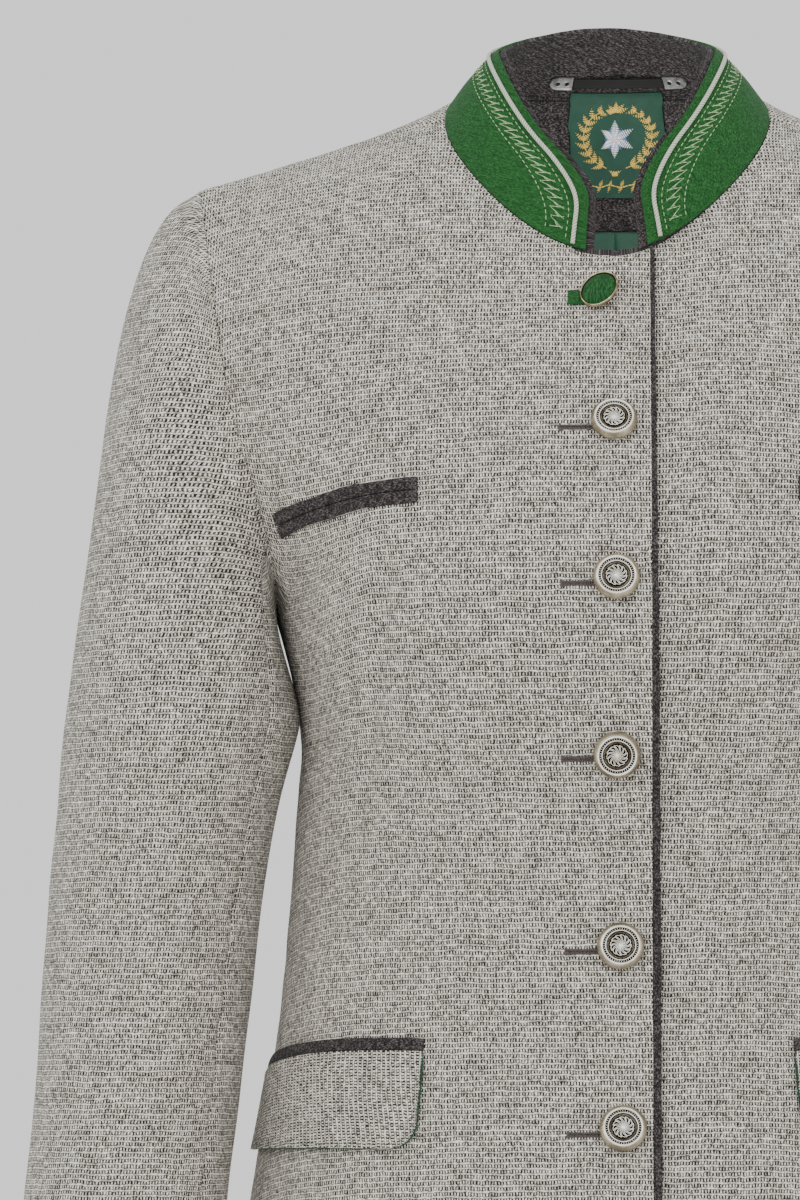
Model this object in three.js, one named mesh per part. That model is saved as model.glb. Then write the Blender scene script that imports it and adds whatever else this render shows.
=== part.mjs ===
// Trachten frock coat for a woman, hollow, as it stands when worn: grey wool hopsack, a green
// felt stand collar with a cord, felt pocket welts, one felt button and five rosette buttons.
// Millimetres. +X is the wearer's left, -Y the front, +Z up. The origin lies midway between
// the two high shoulder points, where the shoulder seams meet the neckline.
import * as THREE from 'three';

// ---------------------------------------------------------------- driving sizes
const SEAM = 0.32;           // gap between pieces that are sewn together
const WOOL = 2.0;            // wall of the grey wool with its interfacing
const FELT = 1.6;            // wall of the felt
const SATIN = 1.0;           // wall of the lining and of the label
const RELIEF = 0.5;          // a piece that lies on a panel starts this far above its surface

const CENTRE_X = 4.5;        // the closing line hangs a little towards the wearer's left
const LAP = 16;              // each front reaches this far past the closing line
const LAP_DEPTH = 4.6;       // the under front lies this far behind the outer one
const LAP_FADE = 58;         // distance from the middle at which that depth has run out
const PIPING_WIDTH = { top: 1.8, hem: 3.8 };

const NECK = { halfWidth: 80, front: 62, back: 75 };
const COLLAR_TOP = { halfWidth: 54, front: 50, back: 48, sideZ: 34 };
const COLLAR = { endLeft: 14.2, endRight: 352.4, cornerTurn: 20, endHeight: 0.55, bow: 1.5 };
const CORD_RADIUS = 1.1;
const CORD_INSET = 5.5;      // from the collar's top edge to the middle of the cord
const CORD_TURN = 4.5;       // the same at the collar's front ends, as an angle

const BUTTON = { radius: 12, height: 5.6, shank: 2.2 };
const TOP_BUTTON = { radius: 10, felt: 6.6, height: 5 };

// ---------------------------------------------------------------- the body's sections
// Half of the body, as rows that run from the neck or the middle to the armhole or the side
// seam. turn: angle round the neck from the centre front. midY, midZ: the row's start below
// the neck. edge: its outer end. lead, trail: lengths of its handles; leadAngle, trailAngle:
// its direction at either end, in plan, from +X towards +Y.
const COLUMNS = ['turn', 'midY', 'midZ', 'edgeX', 'edgeY', 'edgeZ',
  'lead', 'leadAngle', 'trail', 'trailAngle'];

const SHOULDER = [90, 0, 0, 200.5, 8, -33, 40, 4, 40, 4];

const FRONT = [
  [65, 0, 0, 197, -14, -54, 45, -12, 40, 8],
  [42, 0, 0, 191.4, -39, -88, 50, -10, 45, 25],
  [20, 0, 0, 186.5, -51, -120, 55, -12, 50, 38],
  [0, -62, -74, 180, -57.5, -155, 70, -8, 55, 48],
  [0, -88, -118, 171, -57, -185, 75, -5, 60, 55],
  [0, -106, -160, 163.5, -46, -216, 80, -4, 66, 62],
  [0, -118, -200, 161, -25, -236, 88, -4, 74, 72],
  [0, -126, -238, 163, 5, -247, 98, -4, 84, 84],
  [0, -127, -265, 154.5, 5, -265, 100, -4, 80, 90],
  [0, -119, -302, 150.5, 5, -302, 92, -3, 74, 90],
  [0, -109, -340, 152.5, 5, -340, 88, 0, 68, 90],
  [0, -104, -390, 156, 5, -390, 88, 0, 64, 90],
  [0, -108, -450, 162, 5, -450, 92, 0, 68, 90],
  [0, -122, -530, 175, 5, -530, 98, 0, 76, 90],
  [0, -140, -640, 189, 5, -640, 106, 0, 86, 90],
  [0, -157, -760, 200, 5, -760, 112, 0, 94, 90],
  [0, -171, -870, 210, 5, -870, 117, 0, 101, 90],
];

const BACK = [
  [115, 0, 0, 197, 28, -52, 45, 10, 40, -6],
  [138, 0, 0, 192, 46, -84, 50, 12, 45, -22],
  [160, 0, 0, 187, 56, -118, 55, 14, 52, -35],
  [180, 75, 22, 183, 61, -150, 70, 8, 60, -48],
  [180, 92, -24, 177, 60, -182, 76, 3, 64, -56],
  [180, 103, -80, 170, 51, -212, 80, 0, 68, -64],
  [180, 110, -140, 164.5, 31, -235, 84, 0, 74, -74],
  [180, 110, -200, 163, 5, -247, 88, 0, 80, -86],
  [180, 107, -250, 154.5, 5, -265, 90, 0, 76, -90],
  [180, 98, -302, 150.5, 5, -302, 88, 0, 70, -90],
  [180, 90, -340, 152.5, 5, -340, 86, 0, 64, -90],
  [180, 86, -390, 156, 5, -390, 88, 0, 62, -90],
  [180, 94, -450, 162, 5, -450, 92, 0, 66, -90],
  [180, 114, -530, 175, 5, -530, 100, 0, 76, -90],
  [180, 133, -640, 189, 5, -640, 108, 0, 88, -90],
  [180, 148, -760, 200, 5, -760, 114, 0, 96, -90],
  [180, 160, -870, 210, 5, -870, 119, 0, 103, -90],
];

// Rows are counted from the shoulder seam, positive down the front and negative down the back.
const BODY = [...[...BACK].reverse(), SHOULDER, ...FRONT];
const HEM_ROW = FRONT.length;
const NECK_ROW = 4;          // the neckline reaches the middle of the body here
const ARM_ROW = 8;           // the armhole reaches the side seam here
const ARMHOLE_MIDDLE = new THREE.Vector3(180, 1, -140);

// ---------------------------------------------------------------- the sleeve's sections
// Level rings below the armhole. inner, outer: nearest to and furthest from the body;
// midY, halfDepth: their place and half depth; tilt: how much they rise towards the front.
const SLEEVE_COLUMNS = ['z', 'inner', 'outer', 'midY', 'halfDepth', 'tilt'];
const SLEEVE = [
  [-300, 151.8, 265, -17, 60, 0],
  [-335, 159, 267, -15, 58, 0],
  [-374, 166, 271, -15, 56, 0],
  [-413, 171, 273, -19, 54, 0.04],
  [-452, 175.5, 275.5, -26, 52, 0.09],
  [-491, 179.5, 277.5, -34, 50, 0.14],
  [-529, 183, 280.5, -43, 48.5, 0.18],
  [-580, 187, 281.5, -56, 47, 0.22],
  [-635, 190, 280, -70, 45, 0.22],
];
// The sleeve's columns, from the underarm round the front to the top and back again: its
// armhole row, and its angle on the rings from the inner side towards the front.
const SLEEVE_TURNS = [0, 18, 36, 60, 84, 108, 132, 156, 180, 204, 228, 252, 276, 300, 320, 340];
const SLEEVE_STEPS = SLEEVE_TURNS.length;
const FRONT_SEAM = 2;        // column of the seam between the upper and the under sleeve
const BACK_SEAM = 13;
const CAP_LEVELS = [0, 0.1, 0.3, 0.6];

// ---------------------------------------------------------------- small helpers
const radians = THREE.MathUtils.degToRad;
const vector = (x, y, z) => new THREE.Vector3(x, y, z);
const smooth = (value, from, to) => THREE.MathUtils.smoothstep(value, from, to);
const mix = THREE.MathUtils.lerp;

function steps(from, to, count) {
  return Array.from({ length: count + 1 }, (_, i) => mix(from, to, i / count));
}

// Cubic through the rows of a table; a row in corners keeps its own slope on either side.
function rowCurve(rows, column, at, corners = []) {
  const last = rows.length - 1;
  const i = Math.min(Math.max(Math.floor(at), 0), last - 1);
  const value = (k) => rows[Math.min(Math.max(k, 0), last)][column];
  const step = value(i + 1) - value(i);
  const leave = i === 0 || corners.includes(i) ? step : (value(i + 1) - value(i - 1)) / 2;
  const arrive = i + 1 === last || corners.includes(i + 1) ? step : (value(i + 2) - value(i)) / 2;
  const t = at - i;
  return value(i) + t * (leave + t * ((3 * step - 2 * leave - arrive)
    + t * (leave + arrive - 2 * step)));
}

function bezier(a, b, c, d, t) {
  const u = 1 - t;
  return vector(0, 0, 0).addScaledVector(a, u * u * u).addScaledVector(b, 3 * u * u * t)
    .addScaledVector(c, 3 * u * t * t).addScaledVector(d, t * t * t);
}

// ---------------------------------------------------------------- surfaces
// The neckline, by its angle from the centre front towards the wearer's left.
function neckPoint(turn) {
  const c = Math.cos(radians(turn));
  const y = c > 0 ? -NECK.front * c : -NECK.back * c;
  const z = c > 0 ? -48 * c - 26 * c ** 3 : -48 * c - 26 * c ** 2;
  return vector(NECK.halfWidth * Math.sin(radians(turn)), y, z);
}

// Direction across the cloth at the neckline, shared by the panels and the collar.
function neckNormal(turn) {
  const c = Math.cos(radians(turn));
  const radial = 0.6 + 0.33 * Math.abs(c);
  return vector(Math.sin(radians(turn)) * radial, -c * radial, 0.8 - 0.33 * Math.abs(c)).normalize();
}

function bodyPoint(row, across) {
  const at = row + HEM_ROW;
  const neckCorners = [HEM_ROW - NECK_ROW, HEM_ROW + NECK_ROW];
  const armCorners = [HEM_ROW - ARM_ROW, HEM_ROW + ARM_ROW];
  const column = {};
  COLUMNS.forEach((name, i) => {
    const corners = name.startsWith('edge') ? armCorners : neckCorners;
    column[name] = rowCurve(BODY, i, at, corners);
  });
  const start = Math.abs(row) < NECK_ROW ? neckPoint(column.turn)
    : vector(0, column.midY, column.midZ);
  const end = vector(column.edgeX, column.edgeY, column.edgeZ);
  const third = (end.z - start.z) / 3;
  const leave = vector(Math.cos(radians(column.leadAngle)), Math.sin(radians(column.leadAngle)), 0);
  const arrive = vector(Math.cos(radians(column.trailAngle)), Math.sin(radians(column.trailAngle)), 0);
  const first = start.clone().addScaledVector(leave, column.lead).setZ(start.z + third);
  const second = end.clone().addScaledVector(arrive, -column.trail).setZ(end.z - third);
  return bezier(start, first, second, end, across);
}

function bodyNormal(row, across) {
  const d = 0.02;
  const point = bodyPoint(row, across);
  const down = bodyPoint(Math.min(row + d, HEM_ROW), across)
    .sub(bodyPoint(Math.max(row - d, -HEM_ROW), across));
  const out = bodyPoint(row, Math.min(across + d, 1)).sub(bodyPoint(row, Math.max(across - d, 0)));
  const normal = down.cross(out);
  if (across === 0) normal.x = 0;
  const outward = vector(point.x * 0.6, point.y, 40);
  return normal.multiplyScalar(Math.sign(normal.dot(outward))).normalize();
}

// Direction across the cloth at the armhole, shared by the panels and the sleeve.
function armholeNormal(point) {
  return vector(0, point.y - ARMHOLE_MIDDLE.y, point.z - ARMHOLE_MIDDLE.z).normalize();
}

// Halves the span from low to high until it holds the place where before() turns false.
function search(low, high, before) {
  let [from, to] = [low, high];
  for (let k = 0; k < 24; k += 1) {
    const middle = (from + to) / 2;
    if (before(middle)) from = middle;
    else to = middle;
  }
  return (from + to) / 2;
}

// The row of the front (face 1) or the back (face -1) that passes height z there.
function rowAtHeight(face, across, z) {
  return face * search(0, HEM_ROW, (row) => bodyPoint(face * row, across).z > z);
}

// Where the front or the back lies at x and z: the nearest of a net of points, then Newton's way.
const NET = [1, -1].map((face) => ({ face, places: steps(0, HEM_ROW, HEM_ROW)
  .flatMap((row) => steps(0, 1, 10).map((across) => ({ row, across })))
  .map((place) => ({ ...place, point: bodyPoint(face * place.row, place.across) })) }));

function bodyPlace(face, x, z) {
  const miss = ({ point }) => Math.hypot(point.x - x, point.z - z);
  let { row, across } = NET.find((net) => net.face === face).places
    .reduce((best, place) => (miss(place) < miss(best) ? place : best));
  const d = 0.001;
  for (let k = 0; k < 8; k += 1) {
    const here = bodyPoint(face * row, across);
    const down = bodyPoint(face * (row + d), across).sub(here).divideScalar(d);
    const out = bodyPoint(face * row, across + d).sub(here).divideScalar(d);
    const [missX, missZ] = [x - here.x, z - here.z];
    const spread = down.x * out.z - down.z * out.x;
    row = THREE.MathUtils.clamp(row + (missX * out.z - missZ * out.x) / spread, 0, HEM_ROW - d);
    across = THREE.MathUtils.clamp(across + (down.x * missZ - down.z * missX) / spread, 0, 1);
  }
  return { row: face * row, across };
}

// A point on the front or the back at x and z, and its outward direction.
function onBody(face, x, z) {
  const side = x < 0 ? -1 : 1;
  const { row, across } = bodyPlace(face, Math.abs(x), z);
  const point = bodyPoint(row, across);
  const normal = bodyNormal(row, across);
  point.x *= side;
  normal.x *= side;
  return { point, normal };
}

function sleeveRing(level, turn) {
  const column = {};
  SLEEVE_COLUMNS.forEach((name, i) => {
    column[name] = rowCurve(SLEEVE, i, level);
  });
  const x = (column.inner + column.outer) / 2
    - (column.outer - column.inner) / 2 * Math.cos(radians(turn));
  const rise = column.halfDepth * Math.sin(radians(turn));
  return vector(x, column.midY - rise, column.z + column.tilt * rise);
}

function sleeveTurn(column) {
  const low = Math.floor(column);
  return mix(SLEEVE_TURNS[low], SLEEVE_TURNS[low + 1] ?? 360, column - low);
}

// Level 0 to 1 is the cap, from the armhole to the first ring; the rings follow.
function sleevePoint(column, level) {
  const wrapped = (column + SLEEVE_STEPS) % SLEEVE_STEPS;
  const turn = sleeveTurn(wrapped);
  if (level >= 1) return sleeveRing(level - 1, turn);
  const start = bodyPoint(ARM_ROW - wrapped, 1).add(vector(SEAM, 0, 0));
  const end = sleeveRing(0, turn);
  const angle = radians(turn);
  const high = (1 - Math.cos(angle)) / 2;
  const leave = vector(Math.sqrt(high), -0.3 * Math.sin(angle), -((1 - high) ** 2)).normalize();
  const first = start.clone().addScaledVector(leave, 12 + 23 * high);
  const second = end.clone().add(vector(0, 0, 16 + 104 * high));
  return bezier(start, first, second, end, level);
}

function sleeveNormal(column, level) {
  const point = sleevePoint(column, level);
  if (level === 0) return armholeNormal(point);
  const d = 0.04;
  const lastLevel = SLEEVE.length;
  const down = sleevePoint(column, Math.min(level + d, lastLevel))
    .sub(sleevePoint(column, Math.max(level - d, 0)));
  const round = sleevePoint(column + 1, level).sub(sleevePoint(column - 1, level));
  const normal = down.cross(round).normalize();
  const ring = sleeveRing(Math.max(level - 1, 0), 0)
    .add(sleeveRing(Math.max(level - 1, 0), 180)).multiplyScalar(0.5);
  const inside = ARMHOLE_MIDDLE.clone().lerp(ring, Math.min(level, 1));
  return normal.dot(point.clone().sub(inside)) < 0 ? normal.negate() : normal;
}

// The collar's outer face: height 0 at the neckline, 1 at its top edge.
function collarPoint(turn, height) {
  const c = Math.cos(radians(turn));
  const top = vector(COLLAR_TOP.halfWidth * Math.sin(radians(turn)),
    c > 0 ? -COLLAR_TOP.front * c : -COLLAR_TOP.back * c,
    c > 0 ? COLLAR_TOP.sideZ - 12 * c - 55 * c ** 2 : COLLAR_TOP.sideZ - 12 * c + 6 * c ** 2);
  const foot = neckPoint(turn);
  foot.addScaledVector(top.clone().sub(foot).normalize(), SEAM * 1.5);
  return foot.lerp(top, height)
    .addScaledVector(neckNormal(turn), COLLAR.bow * Math.sin(Math.PI * height));
}

function collarNormal(turn, height) {
  if (height === 0) return neckNormal(turn);
  const up = collarPoint(turn, height + 0.02).sub(collarPoint(turn, height - 0.02));
  const round = collarPoint(turn + 1, height).sub(collarPoint(turn - 1, height));
  const normal = up.cross(round).normalize();
  return normal.dot(neckNormal(turn)) < 0 ? normal.negate() : normal;
}

// The collar's height, falling in a round corner towards either front end.
function collarHeight(turn, inset = 0) {
  const fromEnd = Math.min(turn - COLLAR.endLeft, COLLAR.endRight - turn) - inset;
  const t = 1 - Math.min(Math.max(fromEnd, 0) / COLLAR.cornerTurn, 1);
  return 1 - (1 - COLLAR.endHeight) * (1 - Math.sqrt(1 - t * t));
}

// ---------------------------------------------------------------- solids
// A closed wall over a grid: at(r, c) gives a point and the direction out of the cloth. The
// wall runs from lift above the point to wall below that. Cells left out by keep are open. An
// edge is split along the diagonal from its lower index, so that neighbours' edges match.
function clothWall({ rows, columns, at, wall, lift = 0, mirror = false, keep = () => true }) {
  const index = new Map();
  const positions = [];
  const triangles = [];
  const vertex = (r, c, layer) => {
    const key = `${r},${c},${layer}`;
    if (!index.has(key)) {
      const { point, normal } = at(rows[r], columns[c]);
      const place = point.clone().addScaledVector(normal, lift - layer * wall);
      index.set(key, positions.length / 3);
      positions.push(mirror ? -place.x : place.x, place.y, place.z);
    }
    return index.get(key);
  };
  const quad = (a, b, c, d) => triangles.push(a, b, c, a, c, d);
  const kept = (r, c) => r >= 0 && c >= 0 && r < rows.length - 1 && c < columns.length - 1
    && keep(rows[r], columns[c], r, c);
  for (let r = 0; r < rows.length - 1; r += 1) {
    for (let c = 0; c < columns.length - 1; c += 1) {
      if (!kept(r, c)) continue;
      const corners = [[r, c], [r + 1, c], [r + 1, c + 1], [r, c + 1]];
      const outside = [[r, c - 1], [r + 1, c], [r, c + 1], [r - 1, c]];
      quad(...corners.map(([i, j]) => vertex(i, j, 0)));
      quad(...[0, 3, 2, 1].map((k) => vertex(...corners[k], 1)));
      corners.forEach((corner, k) => {
        if (kept(...outside[k])) return;
        const next = corners[(k + 1) % 4];
        const edge = [vertex(...next, 0), vertex(...corner, 0), vertex(...corner, 1), vertex(...next, 1)];
        const forward = next[0] + next[1] > corner[0] + corner[1];
        quad(...(forward ? [edge[1], edge[2], edge[3], edge[0]] : edge));
      });
    }
  }
  return solid(positions, triangles);
}

// A geometry whose faces point out, whichever way round its triangles were listed.
function solid(positions, triangles) {
  const corner = (i) => vector(...positions.slice(3 * i, 3 * i + 3));
  let volume = 0;
  for (let k = 0; k < triangles.length; k += 3) {
    const [a, b, c] = [0, 1, 2].map((m) => corner(triangles[k + m]));
    volume += a.dot(b.cross(c));
  }
  const geometry = new THREE.BufferGeometry();
  geometry.setAttribute('position', new THREE.Float32BufferAttribute(positions, 3));
  geometry.setIndex(volume < 0 ? [...triangles].reverse() : triangles);
  geometry.computeVertexNormals();
  return geometry;
}

const MATERIALS = {
  wool: new THREE.MeshStandardMaterial({ color: 0xa9a59f, roughness: 0.95 }),
  green: new THREE.MeshStandardMaterial({ color: 0x396239, roughness: 0.95 }),
  charcoal: new THREE.MeshStandardMaterial({ color: 0x3e3938, roughness: 0.95 }),
  cord: new THREE.MeshStandardMaterial({ color: 0xc4c8b8, roughness: 0.8 }),
  lining: new THREE.MeshStandardMaterial({ color: 0x2f5043, roughness: 0.45 }),
  label: new THREE.MeshStandardMaterial({ color: 0x1c5446, roughness: 0.7 }),
  strap: new THREE.MeshStandardMaterial({ color: 0x242321, roughness: 0.7 }),
  steel: new THREE.MeshStandardMaterial({ color: 0x8c8c8a, roughness: 0.35, metalness: 1 }),
  pewter: new THREE.MeshStandardMaterial({ color: 0xb3ab98, roughness: 0.35, metalness: 1 }),
};

const coat = new THREE.Group();

function addPiece(name, geometry, material) {
  const mesh = new THREE.Mesh(geometry, MATERIALS[material].clone());
  mesh.name = name;
  coat.add(mesh);
  return mesh;
}

const SIDES = [
  { name: 'right', sign: -1, edge: CENTRE_X + LAP },
  { name: 'left', sign: 1, edge: -(CENTRE_X - LAP) },
];

// ---------------------------------------------------------------- fronts
const PANEL_ACROSS = [0, 0.1, 0.21, 0.33, 0.46, 0.59, 0.72, 0.84, 0.93, 1];
const LAP_COLUMN = -1;       // the column past the middle, at the front's own edge
const CLOSE_ROWS = [4.5, 11.5, 12.5, 13.5];     // where the body curves most
const PANEL_ROWS = [...steps(0, NECK_ROW, 2 * NECK_ROW),
  ...steps(NECK_ROW + 1, HEM_ROW, HEM_ROW - NECK_ROW - 1), ...CLOSE_ROWS].sort((a, b) => a - b);

// The under front sinks behind the outer one where they lap.
function lapDepth(x) {
  return LAP_DEPTH * (1 - smooth(x, CENTRE_X + LAP + 4, LAP_FADE));
}

// A front's surface, drawn for the wearer's left: the lap reaches past x = 0 to -edge.
function frontPlace(row, across, edge, under) {
  let place;
  if (across === LAP_COLUMN) {
    const top = row <= NECK_ROW;
    const turn = THREE.MathUtils.radToDeg(Math.asin(edge / NECK.halfWidth));
    place = top ? { point: neckPoint(turn), normal: neckNormal(turn) }
      : onBody(1, edge, bodyPoint(row, 0).z);
    place.point.x *= -1;
    place.normal.x *= -1;
  } else {
    place = { point: bodyPoint(row, across), normal: bodyNormal(row, across) };
    if (across === 0 && row <= NECK_ROW) {
      place.normal = neckNormal(rowCurve(BODY, 0, row + HEM_ROW));
    }
    if (across === 1 && row <= ARM_ROW) place.normal = armholeNormal(place.point);
  }
  place.point.y -= SEAM / 2;
  if (under) place.point.addScaledVector(place.normal, -lapDepth(place.point.x));
  return place;
}

SIDES.forEach(({ name, sign, edge }) => {
  const under = name === 'left';
  addPiece(`front_${name}`, clothWall({
    rows: PANEL_ROWS,
    columns: [LAP_COLUMN, ...PANEL_ACROSS],
    at: (row, across) => frontPlace(row, across, edge, under),
    keep: (row, across) => across !== LAP_COLUMN || row >= NECK_ROW,
    wall: WOOL,
    mirror: sign < 0,
  }), 'wool');
});

// Piping beside the outer front's edge, from the neck to the hem.
addPiece('front_piping', clothWall({
  rows: PANEL_ROWS.filter((row) => row >= NECK_ROW),
  columns: [0, 1],
  at: (row, across) => {
    const place = frontPlace(row, LAP_COLUMN, SIDES[0].edge, false);
    const down = (row - NECK_ROW) / (HEM_ROW - NECK_ROW);
    const width = mix(PIPING_WIDTH.top, PIPING_WIDTH.hem, Math.min(down * 1.6, 1));
    place.point.x -= SEAM + across * width;
    place.point.addScaledVector(place.normal, -0.2);
    return place;
  },
  wall: FELT,
  mirror: true,
}), 'charcoal');

// ---------------------------------------------------------------- backs
function backPlace(row, across) {
  const place = { point: bodyPoint(-row, across), normal: bodyNormal(-row, across) };
  if (across === 0 && row <= NECK_ROW) {
    place.normal = neckNormal(rowCurve(BODY, 0, HEM_ROW - row));
  }
  if (across === 1 && row <= ARM_ROW) place.normal = armholeNormal(place.point);
  place.point.y += SEAM / 2;
  place.point.x += SEAM / 2;
  return place;
}

SIDES.forEach(({ name, sign }) => {
  addPiece(`back_${name}`, clothWall({
    rows: PANEL_ROWS,
    columns: PANEL_ACROSS,
    at: backPlace,
    wall: WOOL,
    mirror: sign < 0,
  }), 'wool');
});

// ---------------------------------------------------------------- sleeves
const SLEEVE_LEVELS = [...CAP_LEVELS, ...steps(1, SLEEVE.length, SLEEVE.length - 1)];
// Twice as close round the top of the armhole, as the panels' rows are.
const SLEEVE_COLUMN_LIST = [-3, -2, -1, 0, 1, 2, 3, ...steps(4, 12, 16), 13];

function sleevePlace(column, level, from, to) {
  const place = { point: sleevePoint(column, level), normal: sleeveNormal(column, level) };
  const next = sleevePoint(column + 1, level).sub(sleevePoint(column - 1, level)).normalize();
  if (column === from) place.point.addScaledVector(next, SEAM / 2);
  if (column === to) place.point.addScaledVector(next, -SEAM / 2);
  return place;
}

SIDES.forEach(({ name, sign }) => {
  const spans = [
    { part: 'upper', from: FRONT_SEAM, to: BACK_SEAM },
    { part: 'under', from: BACK_SEAM - SLEEVE_STEPS, to: FRONT_SEAM },
  ];
  spans.forEach(({ part, from, to }) => {
    addPiece(`sleeve_${part}_${name}`, clothWall({
      rows: SLEEVE_COLUMN_LIST.filter((column) => column >= from && column <= to),
      columns: SLEEVE_LEVELS,
      at: (column, level) => sleevePlace(column, level, from, to),
      wall: WOOL,
      mirror: sign < 0,
    }), 'wool');
  });
});

// ---------------------------------------------------------------- collar
// The collar's columns meet the ends of the panels' rows, with more at its round corners.
const NECK_TURNS = PANEL_ROWS.filter((row) => row <= NECK_ROW)
  .flatMap((row) => [rowCurve(BODY, 0, HEM_ROW + row), rowCurve(BODY, 0, HEM_ROW - row)]);
const CORNER_STEPS = [0, 0.8, 3, 6.5, 11];
const COLLAR_TURNS = [
  ...CORNER_STEPS.map((turn) => COLLAR.endLeft + turn),
  ...CORNER_STEPS.map((turn) => COLLAR.endRight - turn),
  ...NECK_TURNS,
  ...NECK_TURNS.map((turn) => 360 - turn),
].filter((turn, i, all) => turn >= COLLAR.endLeft && turn <= COLLAR.endRight
  && all.findIndex((other) => Math.abs(other - turn) < 0.7) === i).sort((a, b) => a - b);

function collarPlace(turn, share, over) {
  const height = collarHeight(turn) * (share === 1 ? 1 + over : share);
  return { point: collarPoint(turn, height), normal: collarNormal(turn, height) };
}

addPiece('collar_outer', clothWall({
  rows: COLLAR_TURNS,
  columns: [0, 0.35, 0.7, 1],
  at: (turn, share) => collarPlace(turn, share, 0),
  wall: FELT,
}), 'green');

addPiece('collar_inner', clothWall({
  rows: COLLAR_TURNS,
  columns: [0, 0.35, 0.7, 1],
  at: (turn, share) => collarPlace(turn, share, 0.03),
  wall: FELT,
  lift: -(FELT + SEAM),
}), 'charcoal');

// The cord runs inside the collar's outline, and down both front ends to the neckline.
function collarCordPath() {
  const drop = CORD_INSET / neckPoint(90).distanceTo(collarPoint(90, 1));
  const corner = [0, 0.8, 3, 6.5, 12, 20];
  const places = [];
  [0.05, 0.2, 0.32].forEach((height) => places.push([COLLAR.endLeft + CORD_TURN, height]));
  const turns = [...corner.map((turn) => COLLAR.endLeft + CORD_TURN + turn),
    ...steps(54, 306, 14),
    ...[...corner].reverse().map((turn) => COLLAR.endRight - CORD_TURN - turn)];
  turns.forEach((turn) => places.push([turn, collarHeight(turn, CORD_TURN) - drop]));
  [0.32, 0.2, 0.05].forEach((height) => places.push([COLLAR.endRight - CORD_TURN, height]));
  const points = places.map(([turn, height]) => collarPoint(turn, height)
    .addScaledVector(collarNormal(turn, height), CORD_RADIUS + SEAM));
  return new THREE.CatmullRomCurve3(points, false, 'centripetal');
}

function tube(path, radius, sides, count) {
  const section = new THREE.Shape(steps(0, 1, sides).slice(0, sides).map((t) => new THREE.Vector2(
    radius * Math.cos(2 * Math.PI * t), radius * Math.sin(2 * Math.PI * t))));
  return new THREE.ExtrudeGeometry(section, { steps: count, bevelEnabled: false, extrudePath: path });
}

addPiece('collar_cord', tube(collarCordPath(), CORD_RADIUS, 6, 54), 'cord');

// ---------------------------------------------------------------- inside the neck
const FACET_ROOM = 1.1;      // room for the flat facets of the panel behind
const FACING = { from: 125, to: 235, depth: 65, spread: 0.35 };
const LINING = { left: 52, right: -46, top: -44.5, bottom: -100 };
const LABEL = { middle: 5, halfWidth: 24.5, top: 18, bottom: -34 };
const INSIDE = WOOL + FACET_ROOM;

addPiece('neck_facing', clothWall({
  rows: steps(FACING.from, FACING.to, 12),
  columns: [0.02, 0.18, 0.36, 0.6, 0.8, 1],
  at: (turn, depth) => {
    const start = neckPoint(turn);
    return onBody(-1, start.x * (1 + FACING.spread * depth), start.z - FACING.depth * depth);
  },
  wall: FELT,
  lift: -INSIDE,
}), 'charcoal');

addPiece('lining_strip', clothWall({
  rows: steps(LINING.right, LINING.left, 8),
  columns: steps(LINING.top, LINING.bottom, 2),
  at: (x, z) => onBody(-1, x, z),
  wall: SATIN,
  lift: -INSIDE,
}), 'lining');

addPiece('neck_label', clothWall({
  rows: steps(LABEL.middle - LABEL.halfWidth, LABEL.middle + LABEL.halfWidth, 4),
  columns: steps(LABEL.top, LABEL.bottom, 4),
  at: (x, z) => onBody(-1, x, z),
  wall: SATIN,
  lift: -(INSIDE + FELT + FACET_ROOM),
}), 'label');

// Hanger strap: a tight band between two metal plates on the foot of the inner collar.
const HANGER = { from: 0.07, to: 0.24, wall: 1.1, plateWidth: 13, left: 31.4, right: -18.9 };
const HANGER_LIFT = -(2 * FELT + SEAM + FACET_ROOM);

function neckTurnAt(x) {
  return 180 - THREE.MathUtils.radToDeg(Math.asin(x / (NECK.halfWidth - 2)));
}

function hangerPlace(x, height) {
  const turn = neckTurnAt(x);
  return { point: collarPoint(turn, height), normal: collarNormal(turn, height) };
}

addPiece('hanger_strap', clothWall({
  rows: [HANGER.right, (HANGER.right + HANGER.left) / 2, HANGER.left],
  columns: [HANGER.from + 0.02, HANGER.to - 0.02],
  at: (x, height) => {
    const [start, end] = [HANGER.right, HANGER.left].map((side) => hangerPlace(side, height));
    const share = (x - HANGER.right) / (HANGER.left - HANGER.right);
    return {
      point: start.point.clone().lerp(end.point, share),
      normal: start.normal.clone().lerp(end.normal, share).normalize(),
    };
  },
  wall: HANGER.wall,
  lift: HANGER_LIFT,
}), 'strap');

[
  { name: 'left', from: HANGER.left + SEAM, to: HANGER.left + HANGER.plateWidth },
  { name: 'right', from: HANGER.right - HANGER.plateWidth, to: HANGER.right - SEAM },
].forEach(({ name, from, to }) => {
  addPiece(`hanger_plate_${name}`, clothWall({
    rows: steps(from, to, 2),
    columns: [HANGER.from, HANGER.to],
    at: hangerPlace,
    wall: HANGER.wall,
    lift: HANGER_LIFT,
  }), 'steel');
});

// ---------------------------------------------------------------- pockets
const CHEST = { inner: 89.8, outer: 158, middleZ: -192.4, fall: 0.0028, lip: 6, wall: 1.6 };
const HIP = { inner: 0.35, outer: 0.985, flat: 0.45, topZ: -450.8, fall: 14, welt: 6, flap: 46,
  corner: 13, wall: 2.4, weltWall: 1.6 };

function frontFace(place) {
  place.point.y -= SEAM / 2;
  return place;
}

function chestZ(x) {
  return CHEST.middleZ - CHEST.fall * (x - CHEST.inner) ** 2;
}

// The hip pocket's mouth, by its place across the front.
function hipZ(across) {
  return HIP.topZ - HIP.fall * ((across - HIP.flat) / (1 - HIP.flat)) ** 2;
}

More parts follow.
